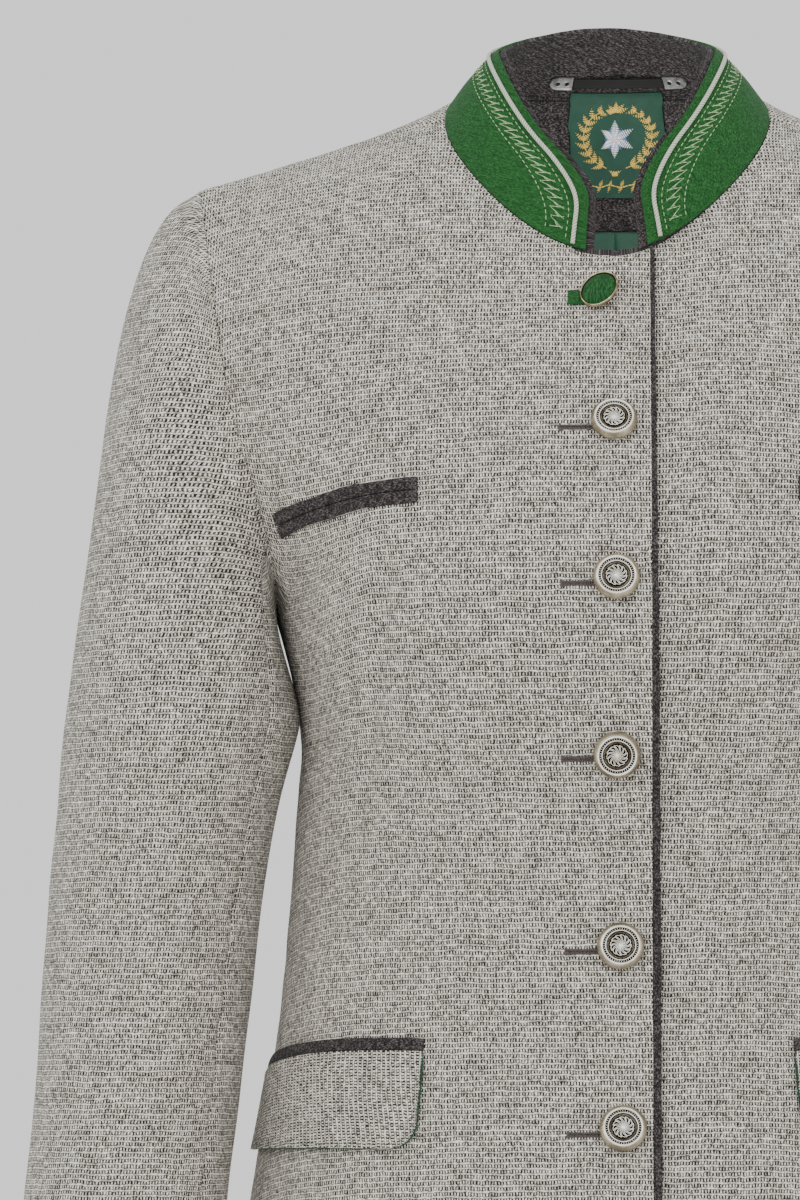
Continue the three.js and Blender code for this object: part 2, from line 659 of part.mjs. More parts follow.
function hipPlace(across, z) {
  const row = rowAtHeight(1, across, z);
  return frontFace({ point: bodyPoint(row, across), normal: bodyNormal(row, across) });
}

// Depth of the flap below the welt: full, but for its round lower corner at the inner end.
function flapDepth(across) {
  const start = hipPlace(HIP.inner, HIP.topZ).point;
  const fromEnd = start.distanceTo(hipPlace(across, HIP.topZ).point);
  const t = 1 - Math.min(fromEnd / HIP.corner, 1);
  return HIP.flap - HIP.corner * (1 - Math.sqrt(1 - t * t));
}

SIDES.forEach(({ name, sign }) => {
  [['upper', 1], ['lower', -1]].forEach(([part, way]) => {
    addPiece(`chest_welt_${part}_${name}`, clothWall({
      rows: steps(CHEST.inner, CHEST.outer, 7),
      columns: [SEAM / 2, CHEST.lip],
      at: (x, away) => frontFace(onBody(1, x, chestZ(x) + way * away)),
      wall: CHEST.wall,
      lift: RELIEF + CHEST.wall,
      mirror: sign < 0,
    }), 'charcoal');
  });
  addPiece(`hip_welt_${name}`, clothWall({
    rows: steps(HIP.inner, HIP.outer, 9),
    columns: [0, HIP.welt],
    at: (across, below) => hipPlace(across, hipZ(across) - below),
    wall: HIP.weltWall,
    lift: RELIEF + HIP.weltWall,
    mirror: sign < 0,
  }), 'charcoal');
  addPiece(`hip_flap_${name}`, clothWall({
    rows: [0, 0.012, 0.035, ...steps(0.07, HIP.outer - HIP.inner, 7)].map((t) => HIP.inner + t),
    columns: [0, 0.5, 1],
    at: (across, share) => hipPlace(across,
      hipZ(across) - HIP.welt - SEAM - share * flapDepth(across)),
    wall: HIP.wall,
    lift: RELIEF + HIP.wall,
    mirror: sign < 0,
  }), 'wool');
});

// ---------------------------------------------------------------- buttons
const BUTTON_SIDES = 20;
const BUTTONS = [
  { x: 2.4, z: -159 },
  { x: 3.3, z: -235.6 },
  { x: 4.2, z: -318.5 },
  { x: 5.7, z: -407.4 },
  { x: 6.6, z: -492.4 },
];
const TOP_BUTTON_PLACE = { x: -5, z: -93.4 };
const TAB = { from: -19, to: -8.6, top: -93, bottom: -100.4, wall: 1 };

// A body turned from a profile of [radius, height], standing on the front at x and z.
function addTurned(name, profile, { x, z }, material) {
  const points = profile.map(([radius, height]) => new THREE.Vector2(radius, height));
  const mesh = addPiece(name, new THREE.LatheGeometry(points, BUTTON_SIDES), material);
  const { point, normal } = frontFace(onBody(1, x, z));
  mesh.position.copy(point).addScaledVector(normal, RELIEF);
  mesh.quaternion.setFromUnitVectors(vector(0, 1, 0), normal);
}

function rosetteProfile() {
  const { radius: r, height: h, shank } = BUTTON;
  return [[0, 0], [2.2, 0], [2.6, shank - 0.6], [0.88 * r, shank - 0.2], [r, 0.57 * h],
    [0.97 * r, 0.75 * h], [0.82 * r, 0.96 * h], [0.74 * r, 0.82 * h], [0.47 * r, 0.78 * h],
    [0.37 * r, 0.93 * h], [0, h]];
}

BUTTONS.forEach((place, i) => addTurned(`button_${i + 1}`, rosetteProfile(), place, 'pewter'));

addTurned('top_button_rim', [[0, 0], [2.2, 0], [2.4, 1.6], [8.6, 1.8],
  [TOP_BUTTON.radius, 2.9], [9.4, 4.3], [8, 4.3], [7.2, 2.9], [0, 2.7]], TOP_BUTTON_PLACE, 'pewter');
addTurned('top_button_felt', [[0, 3], [TOP_BUTTON.felt, 3.2], [TOP_BUTTON.felt, 4.2],
  [4.6, 5.4], [0, TOP_BUTTON.height + 1]], TOP_BUTTON_PLACE, 'green');

addPiece('buttonhole_tab', clothWall({
  rows: steps(TAB.from, TAB.to, 1),
  columns: [TAB.top, TAB.bottom],
  at: (x, z) => frontFace(onBody(1, x, z)),
  wall: TAB.wall,
  lift: RELIEF + TAB.wall,
}), 'green');

export default coat;
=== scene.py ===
import math

import bpy
import numpy as np
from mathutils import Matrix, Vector


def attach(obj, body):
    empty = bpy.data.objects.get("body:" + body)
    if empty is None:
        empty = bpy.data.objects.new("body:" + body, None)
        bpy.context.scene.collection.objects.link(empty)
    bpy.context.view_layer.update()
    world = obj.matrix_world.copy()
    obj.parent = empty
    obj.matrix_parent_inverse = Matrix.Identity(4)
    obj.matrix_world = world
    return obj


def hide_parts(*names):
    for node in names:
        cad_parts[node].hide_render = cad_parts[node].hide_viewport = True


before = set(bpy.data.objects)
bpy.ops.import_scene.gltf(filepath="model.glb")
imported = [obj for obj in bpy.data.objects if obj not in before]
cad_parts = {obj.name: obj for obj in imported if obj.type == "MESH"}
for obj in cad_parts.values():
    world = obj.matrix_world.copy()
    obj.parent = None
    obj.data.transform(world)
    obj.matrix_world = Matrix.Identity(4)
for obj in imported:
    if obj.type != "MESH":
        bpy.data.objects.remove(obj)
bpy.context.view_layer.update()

# ---------------------------------------------------------------- sizes
SEAM = 0.32                 # between neighbouring pieces
WOOL, FELT, SATIN = 2.0, 1.6, 1.0   # thickness of the wool, the felt and the lining
RELIEF = 0.5                # between the front and what is sewn on it
CENTRE_X = 4.5              # where the buttons' line crosses the front
LAP = 16                    # how far the fronts lap past that line
LAP_DEPTH = 4.6             # how far the under front lies behind the outer one
LAP_FADE = 58               # and where it is level with it again
FINE = 3.6                  # distance between the fine points of the cloth

NECK_WIDE, NECK_FRONT, NECK_BACK = 80, 62, 75       # the neckline's half width and depths
NECK_SLOPE, NECK_DIP = 48, 26                       # its fall to the front, and below its ends
COLLAR_WIDE, COLLAR_FRONT, COLLAR_BACK = 54, 50, 48  # the same for the collar's top edge
COLLAR_TOP, COLLAR_SLOPE = 34, 12
COLLAR_DIP_FRONT, COLLAR_RISE_BACK = 55, 6
COLLAR_CROWN = 1.5                                  # how far the collar swells
COLLAR_ENDS = (14.2, 352.4)                         # its front ends, in degrees round the neck
CORNER_TURN, CORNER_DROP = 20, 0.45                 # its rounded corners: degrees, share of height
CAP_OUT, CAP_OUT_TOP = 12, 27                       # pull of the sleeve's cap away from the armhole
CAP_UP, CAP_UP_TOP, CAP_IN_TOP = 16, 134, 19        # and up and inwards from its first ring

COLUMNS = ["turn", "midY", "midZ", "edgeX", "edgeY", "edgeZ", "lead", "leadAngle", "trail", "trailAngle"]
SHOULDER = [90, 0, 0, 200.5, 8, -33, 40, 4, 40, 4]
FRONT = [
    [65, 0, 0, 197, -14, -54, 45, -12, 40, 8],
    [42, 0, 0, 191.4, -39, -88, 50, -10, 45, 25],
    [20, 0, 0, 186.5, -51, -120, 55, -12, 50, 38],
    [0, -62, -74, 180, -57.5, -155, 70, -8, 55, 48],
    [0, -88, -118, 171, -57, -185, 75, -5, 60, 55],
    [0, -106, -160, 163.5, -46, -216, 80, -4, 66, 62],
    [0, -118, -200, 161, -25, -236, 88, -4, 74, 72],
    [0, -126, -238, 163, 5, -247, 98, -4, 84, 84],
    [0, -127, -265, 157.5, 5, -265, 100, -4, 80, 90],
    [0, -119, -302, 150.5, 5, -302, 92, -3, 74, 90],
    [0, -109, -340, 152.5, 5, -340, 88, 0, 68, 90],
    [0, -104, -390, 156, 5, -390, 88, 0, 64, 90],
    [0, -108, -450, 162, 5, -450, 92, 0, 68, 90],
    [0, -122, -530, 175, 5, -530, 98, 0, 76, 90],
    [0, -140, -640, 189, 5, -640, 106, 0, 86, 90],
    [0, -157, -760, 200, 5, -760, 112, 0, 94, 90],
    [0, -171, -870, 210, 5, -870, 117, 0, 101, 90],
]
BACK = [
    [115, 0, 0, 197, 28, -52, 45, 10, 40, -6],
    [138, 0, 0, 192, 46, -84, 50, 12, 45, -22],
    [160, 0, 0, 187, 56, -118, 55, 14, 52, -35],
    [180, 75, 22, 183, 61, -150, 70, 8, 60, -48],
    [180, 92, -24, 177, 60, -182, 76, 3, 64, -56],
    [180, 103, -80, 170, 51, -212, 80, 0, 68, -64],
    [180, 110, -140, 164.5, 31, -235, 84, 0, 74, -74],
    [180, 110, -200, 163, 5, -247, 88, 0, 80, -86],
    [180, 107, -250, 157.5, 5, -265, 90, 0, 76, -90],
    [180, 98, -302, 150.5, 5, -302, 88, 0, 70, -90],
    [180, 90, -340, 152.5, 5, -340, 86, 0, 64, -90],
    [180, 86, -390, 156, 5, -390, 88, 0, 62, -90],
    [180, 94, -450, 162, 5, -450, 92, 0, 66, -90],
    [180, 114, -530, 175, 5, -530, 100, 0, 76, -90],
    [180, 133, -640, 189, 5, -640, 108, 0, 88, -90],
    [180, 148, -760, 200, 5, -760, 114, 0, 96, -90],
    [180, 160, -870, 210, 5, -870, 119, 0, 103, -90],
]
BODY = np.array(BACK[::-1] + [SHOULDER] + FRONT, float)
HEM_ROW, NECK_ROW, ARM_ROW, FLAT_ROW = 17, 4, 8, 6  # where these begin; below the last, rows are level
ARMHOLE_MIDDLE = np.array([180, 1, -140.0])

# z, inner, outer, midY, halfDepth, tilt of the sleeve's rings
SLEEVE = np.array([
    [-300, 149.9, 265.5, -17, 60, 0],
    [-335, 159, 268.5, -15, 58, 0],
    [-374, 166, 272.5, -15, 56, 0],
    [-413, 171, 274.5, -19, 54, 0.04],
    [-452, 175.5, 276.5, -26, 52, 0.09],
    [-491, 179.5, 278.5, -34, 50, 0.14],
    [-529, 183, 281.5, -43, 48.5, 0.18],
    [-580, 187, 281.5, -56, 47, 0.22],
    [-635, 190, 280, -70, 45, 0.22],
], float)
SLEEVE_TURNS = [0, 18, 36, 60, 84, 108, 132, 156, 180, 204, 228, 252, 276, 300, 320, 340]
FRONT_SEAM = 2
BACK_SEAM = 13


# ---------------------------------------------------------------- surfaces
def vec(x, y, z):
    return np.stack(np.broadcast_arrays(x, y, z), -1).astype(float)


def unit(v):
    return v / np.maximum(np.linalg.norm(v, axis=-1, keepdims=True), 1e-12)


def smooth(value, start, end):
    t = np.clip((value - start) / (end - start), 0, 1)
    return t * t * (3 - 2 * t)


def row_curve(column, at, corners=()):
    """Cubic through a table's column; a row in corners keeps its own slope on either side."""
    last = len(column) - 1
    i = np.clip(np.floor(at).astype(int), 0, last - 1)

    def value(k):
        return column[np.clip(k, 0, last)]

    step = value(i + 1) - value(i)
    leave = np.where((i == 0) | np.isin(i, corners), step, (value(i + 1) - value(i - 1)) / 2)
    arrive = np.where((i + 1 == last) | np.isin(i + 1, corners), step, (value(i + 2) - value(i)) / 2)
    t = at - i
    return value(i) + t * (leave + t * ((3 * step - 2 * leave - arrive) + t * (leave + arrive - 2 * step)))


def bezier(a, b, c, d, t):
    t = np.asarray(t)[..., None]
    u = 1 - t
    return a * u**3 + 3 * b * u * u * t + 3 * c * u * t * t + d * t**3


def neck_point(turn):
    c = np.cos(np.radians(turn))
    y = np.where(c > 0, -NECK_FRONT * c, -NECK_BACK * c)
    z = -NECK_SLOPE * c - NECK_DIP * np.where(c > 0, c**3, c**2)
    return vec(NECK_WIDE * np.sin(np.radians(turn)), y, z)


def neck_normal(turn):
    c = np.cos(np.radians(turn))
    radial = 0.6 + 0.33 * np.abs(c)
    return unit(vec(np.sin(np.radians(turn)) * radial, -c * radial, 0.8 - 0.33 * np.abs(c)))


def body_point(row, across):
    """A body row is 0 at the shoulder and grows down the front; below 0 it goes down the back.
    Across is 0 at the neckline or centre and 1 at the armhole or side."""
    row, across = np.broadcast_arrays(np.asarray(row, float), np.asarray(across, float))
    at = row + HEM_ROW
    col = {}
    for k, name in enumerate(COLUMNS):
        corner = ARM_ROW if name.startswith("edge") else NECK_ROW
        col[name] = row_curve(BODY[:, k], at, (HEM_ROW - corner, HEM_ROW + corner))
    below = vec(0, col["midY"], col["midZ"])
    start = np.where((np.abs(row) < NECK_ROW)[..., None], neck_point(col["turn"]), below)
    end = vec(col["edgeX"], col["edgeY"], col["edgeZ"])
    lead, trail = np.radians(col["leadAngle"]), np.radians(col["trailAngle"])
    first = start + vec(np.cos(lead), np.sin(lead), 0) * col["lead"][..., None]
    second = end - vec(np.cos(trail), np.sin(trail), 0) * col["trail"][..., None]
    third = (end[..., 2] - start[..., 2]) / 3
    first[..., 2] = start[..., 2] + third
    second[..., 2] = end[..., 2] - third
    return bezier(start, first, second, end, across)


NET = {}
for face in (1, -1):
    net_row, net_across = np.meshgrid(np.linspace(0, HEM_ROW, 52), np.linspace(0, 1, 12), indexing="ij")
    NET[face] = (net_row.ravel(), net_across.ravel(), body_point(face * net_row, net_across).reshape(-1, 3))


def body_place(face, x, z):
    """Row and share across where the front (1) or the back (-1) lies at x and z."""
    shape = np.broadcast(x, z).shape
    x, z = (np.broadcast_to(a, shape).ravel().astype(float) for a in (x, z))
    rows, acrosses, points = NET[face]
    near = np.argmin((points[:, 0] - x[:, None]) ** 2 + (points[:, 2] - z[:, None]) ** 2, axis=1)
    row, across = rows[near].copy(), acrosses[near].copy()
    d = 0.001
    for _ in range(10):
        here = body_point(face * row, across)
        down = (body_point(face * (row + d), across) - here) / d
        out = (body_point(face * row, across + d) - here) / d
        miss_x, miss_z = x - here[:, 0], z - here[:, 2]
        spread = down[:, 0] * out[:, 2] - down[:, 2] * out[:, 0]
        row = np.clip(row + (miss_x * out[:, 2] - miss_z * out[:, 0]) / spread, 0, HEM_ROW - d)
        across = np.clip(across + (down[:, 0] * miss_z - down[:, 2] * miss_x) / spread, 0, 1)
    return row.reshape(shape), across.reshape(shape)


def sleeve_ring(level, turn):
    z, inner, outer, mid_y, half, tilt = (row_curve(SLEEVE[:, k], level) for k in range(6))
    x = (inner + outer) / 2 - (outer - inner) / 2 * np.cos(np.radians(turn))
    rise = half * np.sin(np.radians(turn))
    return vec(x, mid_y - rise, z + tilt * rise)


def sleeve_point(column, level):
    """Column 0 is at the underarm, 8 at the top; level 0 to 1 is the cap, and the rings follow."""
    column, level = np.broadcast_arrays(np.asarray(column, float) % 16, np.asarray(level, float))
    turn = np.interp(column, range(17), SLEEVE_TURNS + [360])
    start = body_point(ARM_ROW - column, 1.0) + np.array([0.04, 0, 0])
    end = sleeve_ring(np.zeros_like(level), turn)
    high = (1 - np.cos(np.radians(turn))) / 2
    leave = unit(vec(np.sqrt(high), -0.3 * np.sin(np.radians(turn)), -((1 - high) ** 2)))
    first = start + leave * (CAP_OUT + CAP_OUT_TOP * high)[..., None]
    second = end + vec(-CAP_IN_TOP * high**2, 0, CAP_UP + CAP_UP_TOP * high)
    cap = bezier(start, first, second, end, np.minimum(level, 1))
    return np.where((level < 1)[..., None], cap, sleeve_ring(np.maximum(level - 1, 0), turn))


def collar_point(turn, height):
    """The collar's outer face: height 0 at the neckline, 1 at its top edge."""
    turn, height = np.broadcast_arrays(np.asarray(turn, float), np.asarray(height, float))
    c, s = np.cos(np.radians(turn)), np.sin(np.radians(turn))
    bend = np.where(c > 0, -COLLAR_DIP_FRONT, COLLAR_RISE_BACK) * c**2
    top = vec(COLLAR_WIDE * s, np.where(c > 0, -COLLAR_FRONT * c, -COLLAR_BACK * c),
              COLLAR_TOP - COLLAR_SLOPE * c + bend)
    foot = neck_point(turn)
    foot = foot + unit(top - foot) * SEAM * 1.5
    h = height[..., None]
    return foot * (1 - h) + top * h + neck_normal(turn) * COLLAR_CROWN * np.sin(np.pi * h)


def collar_normal(turn, height):
    up = collar_point(turn, height + 0.02) - collar_point(turn, height - 0.02)
    along = collar_point(turn + 1, height) - collar_point(turn - 1, height)
    normal = unit(np.cross(up, along))
    return normal * np.sign(np.sum(normal * neck_normal(turn), -1, keepdims=True))


def collar_height(turn, inset=0.0):
    from_end = np.minimum(turn - COLLAR_ENDS[0], COLLAR_ENDS[1] - turn) - inset
    t = 1 - np.clip(from_end / CORNER_TURN, 0, 1)
    return 1 - CORNER_DROP * (1 - np.sqrt(1 - t * t))


# ---------------------------------------------------------------- grids of cloth
def arc(points, axis):
    """Length along the grid's lines from their start."""
    steps = np.linalg.norm(np.diff(points, axis=axis), axis=-1)
    zero = np.zeros_like(np.take(steps, [0], axis=axis))
    return np.concatenate([zero, np.cumsum(steps, axis=axis)], axis=axis)


HALVES = (slice(None, -1), slice(1, None))


def corners(grid):
    """The four corners of each of a grid's cells."""
    return grid[:-1, :-1], grid[1:, :-1], grid[1:, 1:], grid[:-1, 1:]


def whole(points):
    """A mark for each of a grid's cells."""
    return np.ones((points.shape[0] - 1, points.shape[1] - 1), bool)


def grid_normals(points, keep, outside):
    """Normals out of the cloth: outside is a point that lies well beyond it, or a grid of them."""
    a, b, c, d = corners(points)
    face = np.cross(c - a, d - b) * keep[..., None]
    normal = np.zeros_like(points)
    for rows in HALVES:
        for columns in HALVES:
            normal[rows, columns] += face
    middle = tuple(n // 2 for n in keep.shape)
    if np.dot(face[middle], outside - points[middle]) < 0:
        normal = -normal
    return unit(normal)


def edge_points(keep):
    """Marks the points of a grid that lie on the cloth's edge, and those outside it."""
    count = np.zeros((keep.shape[0] + 1, keep.shape[1] + 1), int)
    for rows in HALVES:
        for columns in HALVES:
            count[rows, columns] += keep
    return count < 4


def soften(points, rounds, fixed=None):
    """Evens out a grid of points, but for its rim and the fixed ones."""
    points = points.copy()
    free = 1.0 if fixed is None else ~fixed[1:-1, 1:-1, None]
    for _ in range(rounds):
        around = (points[:-2, 1:-1] + points[2:, 1:-1] + points[1:-1, :-2] + points[1:-1, 2:]) / 4
        points[1:-1, 1:-1] += 0.5 * free * (around - points[1:-1, 1:-1])
    return points


def flatten(points, normals, keep, tilt=0.0, grain=None, face=1):
    """The cloth laid flat, in metres: u across and v up the grain, level where it is cut level.
    tilt turns the grain, in radians, and grain is its upward direction where it isn't plumb."""
    up = np.cross(normals, np.array([3.0 * face, 0, 0])) + np.array([0, 0, 1.0]) if grain is None else grain
    up = unit(up - normals * np.sum(up * normals, -1, keepdims=True))
    over = np.cross(up, normals)
    tilt = np.broadcast_to(tilt, points.shape[:2])[..., None]
    up, over = up * np.cos(tilt) + over * np.sin(tilt), over * np.cos(tilt) - up * np.sin(tilt)
    use_down = np.pad(keep, ((0, 0), (1, 0))) | np.pad(keep, ((0, 0), (0, 1)))
    use_along = np.pad(keep, ((1, 0), (0, 0))) | np.pad(keep, ((0, 1), (0, 0)))
    flat = np.zeros(points.shape[:2] + (2,))
    down, along = np.diff(points, axis=0), np.diff(points, axis=1)

    def wish(edge, axis):
        pick = [(s, slice(None)) if axis == 0 else (slice(None), s) for s in HALVES]
        return np.stack([np.sum(edge * (field[pick[0]] + field[pick[1]]) / 2, -1)
                         for field in (over, up)], -1)

    def gather(d, a):
        total = np.zeros_like(flat)
        d, a = d * use_down[..., None], a * use_along[..., None]
        total[1:] += d
        total[:-1] -= d
        total[:, 1:] += a
        total[:, :-1] -= a
        return total

    goal = gather(wish(down, 0), wish(along, 1))
    rest = goal - gather(np.diff(flat, axis=0), np.diff(flat, axis=1))
    way, size = rest.copy(), np.sum(rest * rest)
    for _ in range(1500):
        pull = gather(np.diff(way, axis=0), np.diff(way, axis=1))
        step = size / max(np.sum(way * pull), 1e-30)
        flat += step * way
        rest -= step * pull
        fresh = np.sum(rest * rest)
        if fresh < 1e-6 * np.sum(goal * goal):
            break
        way = rest + fresh / size * way
        size = fresh
    return flat * 0.001


# ---------------------------------------------------------------- meshes
MM = 0.001                  # a millimetre in metres
ROUND_ANGLE = math.radians(50)      # edges sharper than this are rounded
# A stitch's thickness from one end to the other: share of its length, share of its radius.
STITCH_AT = np.array([0.0, 0.12, 0.32, 0.5, 0.68, 0.88, 1.0])
STITCH_FAT = np.array([0.25, 0.75, 1.0, 1.05, 1.0, 0.75, 0.25])
STITCH_UV, STITCH_STEP, SIDE_UV = 0.004, 0.011, 0.0003  # its cloth coordinates, in metres


def round_angles(sides):
    return np.linspace(0, 2 * np.pi, sides, endpoint=False)


class Build:
    """Gathers walls, tubes, turned shapes and stitches, in millimetres, into one mesh."""

    def __init__(self):
        self.points, self.uvs, self.faces, self.slots = [], [], [], []
        self.count = 0

    def add(self, points, faces, uv=None, slot=0):
        points = np.asarray(points, float).reshape(-1, 3)
        uv = points[:, :2] * MM if uv is None else np.asarray(uv, float).reshape(-1, 2)
        self.points.append(points)
        self.uvs.append(uv)
        for face in faces:
            face = np.asarray(face)
            self.faces.append(face + self.count)
            self.slots.append(np.broadcast_to(slot, len(face)))
        self.count += len(points)

    def rings(self, points, uv=None, slot=0):
        """A skin over rings of points, one after the other."""
        rows, columns = points.shape[:2]
        ids = np.arange(rows * columns).reshape(rows, columns)
        ids = np.concatenate([ids, ids[:, :1]], axis=1)
        self.add(points, [np.stack(corners(ids), -1).reshape(-1, 4)], uv, slot)

    def wall(self, outer, inner, uv, keep=None, slots=(0, 0, 0)):
        """A closed wall between two grids; keep marks its cells. slots: outer, inner and rim."""
        rows, columns = outer.shape[:2]
        keep = whole(outer) if keep is None else keep
        ids = np.arange(rows * columns).reshape(rows, columns)
        far = rows * columns
        a, b, c, d = corners(ids)
        quads = np.stack([a, b, c, d], -1)[keep]
        rims = []
        around = np.pad(keep, 1)
        sides = ((a, b, around[1:-1, :-2]), (b, c, around[2:, 1:-1]),
                 (c, d, around[1:-1, 2:]), (d, a, around[:-2, 1:-1]))
        for start, end, beyond in sides:
            free = keep & ~beyond
            rims.append(np.stack([end[free], start[free], start[free] + far, end[free] + far], -1))
        groups = [quads, quads[:, ::-1] + far, np.concatenate(rims)]
        points = np.concatenate([outer.reshape(-1, 3), inner.reshape(-1, 3)])
        used = np.unique(np.concatenate([g.ravel() for g in groups]))
        place = np.zeros(2 * far, int)
        place[used] = np.arange(len(used))
        groups = [place[g] for g in groups]
        points = points[used]
        everything = np.concatenate(groups)
        p = [points[everything[:, k]] for k in range(4)]
        volume = np.sum(p[0] * np.cross(p[1], p[2])) + np.sum(p[0] * np.cross(p[2], p[3]))
        if volume < 0:
            groups = [g[:, ::-1] for g in groups]
        both = np.concatenate([uv.reshape(-1, 2)] * 2)[used]
        slot = np.concatenate([np.full(len(g), s) for g, s in zip(groups, slots)])
        self.add(points, [np.concatenate(groups)], both, slot)

    def turned(self, profile, sides, frame_at, slot=0):
        """A shape turned from (radius, height) pairs about the axis of frame_at = (place, x, y, z).

        Its ends are capped unless the profile ends where it starts."""
        place, x, y, z = frame_at
        profile = np.array(profile, float)[::-1]
        angle = round_angles(sides)
        spoke = np.cos(angle)[:, None] * x + np.sin(angle)[:, None] * y
        grid = place + profile[:, None, :1] * spoke + profile[:, None, 1:] * z
        self.rings(grid, slot=slot)
        for ring, ids in ((grid[0], np.arange(sides)), (grid[-1], np.arange(sides)[::-1])):
            across = np.linalg.norm(ring[0] - ring[sides // 2])
            if across > TINY and not np.allclose(profile[0], profile[-1]):
                self.add(ring, [ids[None]], slot=slot)

    def stitches(self, starts, ends, normals, radius, rise=0.35, slot=0, sides=6):
        """Threads from starts to ends that arch over the cloth and dip in at both ends."""
        starts, ends, normals = (np.asarray(a, float).reshape(-1, 3) for a in (starts, ends, normals))
        radius = np.broadcast_to(radius, len(starts))[:, None, None, None]
        t = STITCH_AT
        fat = STITCH_FAT[None, :, None, None]
        lift = (rise * 4 * t * (1 - t) + (1 - rise))[None, :, None, None] * radius
        middle = starts[:, None] * (1 - t)[None, :, None] + ends[:, None] * t[None, :, None]
        along = unit(ends - starts)
        side = unit(np.cross(along, normals))
        up = np.cross(side, along)
        angle = round_angles(sides)[None, None, :, None]
        ring = np.cos(angle) * side[:, None, None] + np.sin(angle) * up[:, None, None]
        points = middle[:, :, None] + ring * radius * fat + up[:, None, None] * lift
        count = len(starts)
        ids = np.arange(count * len(t) * sides).reshape(count, len(t), sides)
        wide = np.concatenate([ids, ids[:, :, :1]], axis=2)
        quads = np.stack([wide[:, :-1, :-1], wide[:, 1:, :-1], wide[:, 1:, 1:], wide[:, :-1, 1:]], -1)
        uv = np.zeros(points.shape[:3] + (2,))
        uv[..., 0] = (t * STITCH_UV)[None, :, None] + np.arange(count)[:, None, None] * STITCH_STEP
        uv[..., 1] = (np.arange(sides) * SIDE_UV)[None, None, :]
        faces = [quads.reshape(-1, 4), ids[:, 0, :], ids[:, -1, ::-1]]
        self.add(points, faces, uv, slot)

    def tube(self, path, radius, sides, hint, slot=0, squash=1.0):
        """A closed tube along a path; hint points away from the cloth, and squash flattens it."""
        path = np.asarray(path, float)
        along = unit(np.gradient(path, axis=0))
        side = unit(np.cross(along, hint))
        up = np.cross(side, along)
        angle = round_angles(sides)
        across, rise = np.cos(angle)[None, :, None], np.sin(angle)[None, :, None]
        ring = across * side[:, None] + rise * up[:, None] * squash
        radius = np.broadcast_to(radius, len(path))
        length = arc(path, 0)
        points = path[:, None] + ring * radius[:, None, None]
        uv = np.stack(np.broadcast_arrays(length[:, None] * MM, angle[None] * radius[:, None] * MM), -1)
        self.rings(points, uv, slot)
        ids = np.arange(sides)[None]
        self.add(points[0], [ids], uv[0], slot)
        self.add(points[-1], [ids[:, ::-1]], uv[-1], slot)

    def piece(self, name, finish, materials, mirror=False, bevel=0.0, node=None):
        """The mesh as a piece of the coat, standing for the CAD node, or the one of its own name."""
        node = node or name
        points = np.concatenate(self.points) * MM
        uvs = np.concatenate(self.uvs)
        if mirror:
            points = mirrored(points)
        faces, slots = [], []
        for face, slot in zip(self.faces, self.slots):
            faces += (face[:, ::-1] if mirror else face).tolist()
            slots += slot.tolist()
        mesh = bpy.data.meshes.new(name)
        mesh.from_pydata(points.tolist(), [], faces)
        mesh.polygons.foreach_set("material_index", np.array(slots, np.int32))
        mesh.polygons.foreach_set("use_smooth", np.ones(len(faces), bool))
        index = np.zeros(len(mesh.loops), np.int32)
        mesh.loops.foreach_get("vertex_index", index)
        layer = mesh.uv_layers.new(name="Cloth")
        layer.data.foreach_set("uv", uvs[index].ravel())
        mesh.update()
        made = bpy.data.objects.new(name, mesh)
        bpy.context.collection.objects.link(made)
        for material in materials:
            mesh.materials.append(material)
        if bevel:
            edge = made.modifiers.new("Edges", "BEVEL")
            edge.width = bevel * MM
            edge.segments = 3
            edge.limit_method = "ANGLE"
            edge.angle_limit = ROUND_ANGLE
        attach(made, "root")
        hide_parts(node)


def mirrored(points):
    return points * np.array([-1.0, 1, 1])


# ---------------------------------------------------------------- small shapes in the cloth
SEED, WAVE_COUNT = 38, 24
FAR_OFF, TINY = 1e9, 1e-6
rng = np.random.default_rng(SEED)
WAVES = rng.normal(size=(WAVE_COUNT, 3))
WAVE_STARTS = rng.uniform(0, 2 * np.pi, WAVE_COUNT)


def ripple(points, size, pick=0):
    """Smooth unevenness between about -1 and 1, of the given size in millimetres."""
    total = 0
    for k in range(8):
        way = WAVES[(pick * 5 + k) % WAVE_COUNT] / size * 2.2
        total = total + np.sin(points @ way + WAVE_STARTS[(pick * 7 + k) % WAVE_COUNT])
    return total / 4


def line_distance(points, line, axes):
    """Distance of points from a line of corners in the plane of axes, and the share along it."""
    p = points[..., axes]
    line = np.asarray(line, float)
    before = arc(line, 0)
    best = np.full(p.shape[:-1], FAR_OFF)
    share = np.zeros(p.shape[:-1])
    for a, b, start in zip(line[:-1], line[1:], before):
        length = np.linalg.norm(b - a)
        t = np.clip(np.sum((p - a) * (b - a), -1) / length**2, 0, 1)
        distance = np.linalg.norm(p - a - t[..., None] * (b - a), axis=-1)
        closer = distance < best
        best = np.where(closer, distance, best)
        share = np.where(closer, (start + t * length) / before[-1], share)
    return best, share


def fold(points, line, depth, width, fade=(0.15, 0.15), axes=(0, 2)):
    """A soft trough (depth above zero) or ridge along a line, running out at both ends."""
    distance, share = line_distance(points, line, axes)
    strength = smooth(share, 0, fade[0]) if fade[0] else 1.0
    if fade[1]:
        strength = strength * (1 - smooth(share, 1 - fade[1], 1))
    return -depth * strength * np.exp(-((distance / width) ** 2))


def seam(distance, depth=0.9, width=1.9):
    """The dip of the cloth beside a seam, and the soft roll next to it."""
    return -depth * np.exp(-((distance / width) ** 2)) + 0.18 * np.exp(-(((distance - 5) / 2.6) ** 2))


def pucker(points, distance, pick):
    """The small puckers of the cloth along a seam."""
    return 0.22 * ripple(points, 11, pick) * np.exp(-((distance / 6) ** 2)) * smooth(distance, 0, 1.5)


